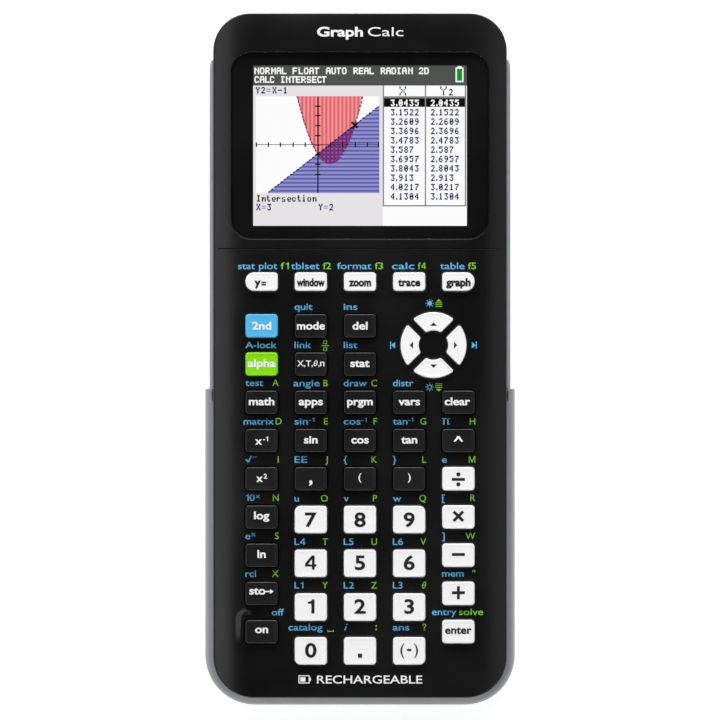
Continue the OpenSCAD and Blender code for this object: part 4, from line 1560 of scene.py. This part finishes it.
for node, (left, right) in CAPTIONS.items():
    (x, y), (w, h) = cap_size(node)
    base = y + h / 2 + 1.07 + CAPTION_RISE.get(node, 0.1)
    if left:
        blue.word(left, (x - w / 2 + LEFT_SHIFT.get(node, -0.05), base), CASE_SIZE, MEDIUM,
                  WORD_WIDTHS.get(left if isinstance(left, str) else node), 0.0, level=crown)
    if right:
        place = (x + w / 2 + RIGHT_SHIFT.get(node, 0.22), base)
        green.word(right, place, CASE_SIZE, 0.003, None, 1.0, 0.98, crown)
(x, y), (w, h) = cap_size("key_square")
blue.bar(x - w / 2 + 1.7, y + h / 2 + 2.6, x - w / 2 + 3.1, y + h / 2 + 2.78, crown)

# %% Second functions of the top row and of two wide words
# A blue word, a green word, where the pair starts and where it ends
TOP_ROW = {"key_y_equals": ("stat plot", "f1", -32.9, -19.2), "key_window": ("tblset", "f2", -18.6, -7.8),
           "key_zoom": ("format", "f3", -6.2, 6.2), "key_trace": ("calc", "f4", 8.6, 17.8),
           "key_graph": ("table", "f5", 21.6, 31.3)}
top_base = cap_size("key_zoom")[0][1] + 2.65 + 0.75
for left, right, start, stop in TOP_ROW.values():
    used = green.word(right, (stop, top_base), CASE_SIZE, MEDIUM, 2.2, 1.0, level=crown)
    blue.word(left, (start, top_base), CASE_SIZE, MEDIUM, stop - start - used - 0.9, 0.0, level=crown)
(x, y), (w, h) = cap_size("key_on")
blue.word("off", (-20.5, y + h / 2 + 1.2), CASE_SIZE, MEDIUM, None, 1.0, level=crown)
(x, y), (w, h) = cap_size("key_enter")
blue.word("entry", (19.4, y + h / 2 + 1.3), CASE_SIZE, MEDIUM, 6.6, 0.0, level=crown)
green.word("solve", (33.2, y + h / 2 + 1.3), CASE_SIZE, MEDIUM, 6.5, 1.0, level=crown)

# %% Signs beside the keys
# Two small boxes with a bar between them, beside "link", for fractions
(x, y), (w, h) = cap_size("key_variable")
fx, fy = x + w / 2 - 0.5, y + h / 2 + 0.4
BOX_SIDES = ((-0.5, 0, 0.5, 0.16), (-0.5, 0.84, 0.5, 1.0), (-0.5, 0.16, -0.34, 0.84), (0.34, 0.16, 0.5, 0.84))
for low_y in (fy, fy + 1.85):
    for x0, y0, x1, y1 in BOX_SIDES:
        green.bar(fx + x0, low_y + y0, fx + x1, low_y + y1, crown)
green.bar(fx - 1.05, fy + 1.33, fx + 1.05, fy + 1.52, crown)
# Around the arrow ring: brighter, darker, first and last
SUN_R, SUN_HOLE, RAY_R = 0.62, 0.44, 0.95
for up in (1, -1):
    sun_x, sun_y, bars_x = RING_C[0] - 1.0, RING_C[1] + up * 11.3, RING_C[0] + 1.45
    if up > 0:
        blue.shape(disc(sun_x, sun_y, SUN_R), crown)
    else:
        rings = [at_height(disc(sun_x, sun_y, r), lambda x, y, z=z: crown(x, y) + z)
                 for r, z in ((SUN_R, INK[0]), (SUN_R, INK[1]), (SUN_HOLE, INK[1]), (SUN_HOLE, INK[0]))]
        join_rings(blue.verts, blue.faces, rings + rings[:1], False, False)
    for k in range(8):
        a = math.pi / 4 * k
        ray = (sun_x + RAY_R * math.cos(a), sun_y + RAY_R * math.sin(a))
        blue.shape(tilted_bar(*ray, 0.36, 0.16, 45 * k), crown)
    for k in range(3):
        green.shape(tilted_bar(bars_x, sun_y + up * (0.12 - 0.5 * k), 1.8, 0.19, 0), crown)
    cap = [(bars_x - 0.72, sun_y + up * 0.5), (bars_x + 0.72, sun_y + up * 0.5), (bars_x, sun_y + up * 1.15)]
    green.shape(cap[::up], crown)
for side in (-1, 1):
    cx, cy = RING_C[0] + side * 10.9, RING_C[1]
    back, stop = cx - side * 0.55, cx + side * 0.66
    outline = [(back, cy - 0.9), (cx + side * 0.5, cy), (back, cy + 0.9)]
    blue.shape(outline[::side], crown)
    blue.bar(stop - 0.13, cy - 1.0, stop + 0.13, cy + 1.0, crown)

# %% Name over the window, battery sign under the keys
NAME_Y = 87.3
used = white.word("Graph", (-11.6, NAME_Y), 3.55, 0.03, 12.4, 0.0, level=crown)
white.word("Calc", (-11.6 + used + 1.3, NAME_Y), 3.55, LIGHT, 9.6, 0.0, level=crown)
FOOT_Y = -87.2
white.word("RECHARGEABLE", (-11.6, FOOT_Y), 3.1, MEDIUM, 28.4, 0.0, level=crown)
for x0, y0, x1, y1 in ((-16.6, 0, -13.6, 0.25), (-16.6, 1.95, -13.6, 2.2), (-16.6, 0.25, -16.35, 1.95),
                       (-13.85, 0.25, -13.6, 1.95), (-13.6, 0.65, -13.25, 1.55), (-16.1, 0.5, -14.7, 1.7)):
    white.bar(x0, FOOT_Y + y0, x1, FOOT_Y + y1, crown)
blue.piece("legends_blue", blue_ink, "calculator")
green.piece("legends_green", green_ink, "calculator")
white.piece("marks_white", white_ink, "calculator")
print("legend faces", len(blue.faces), len(green.faces), len(white.faces))
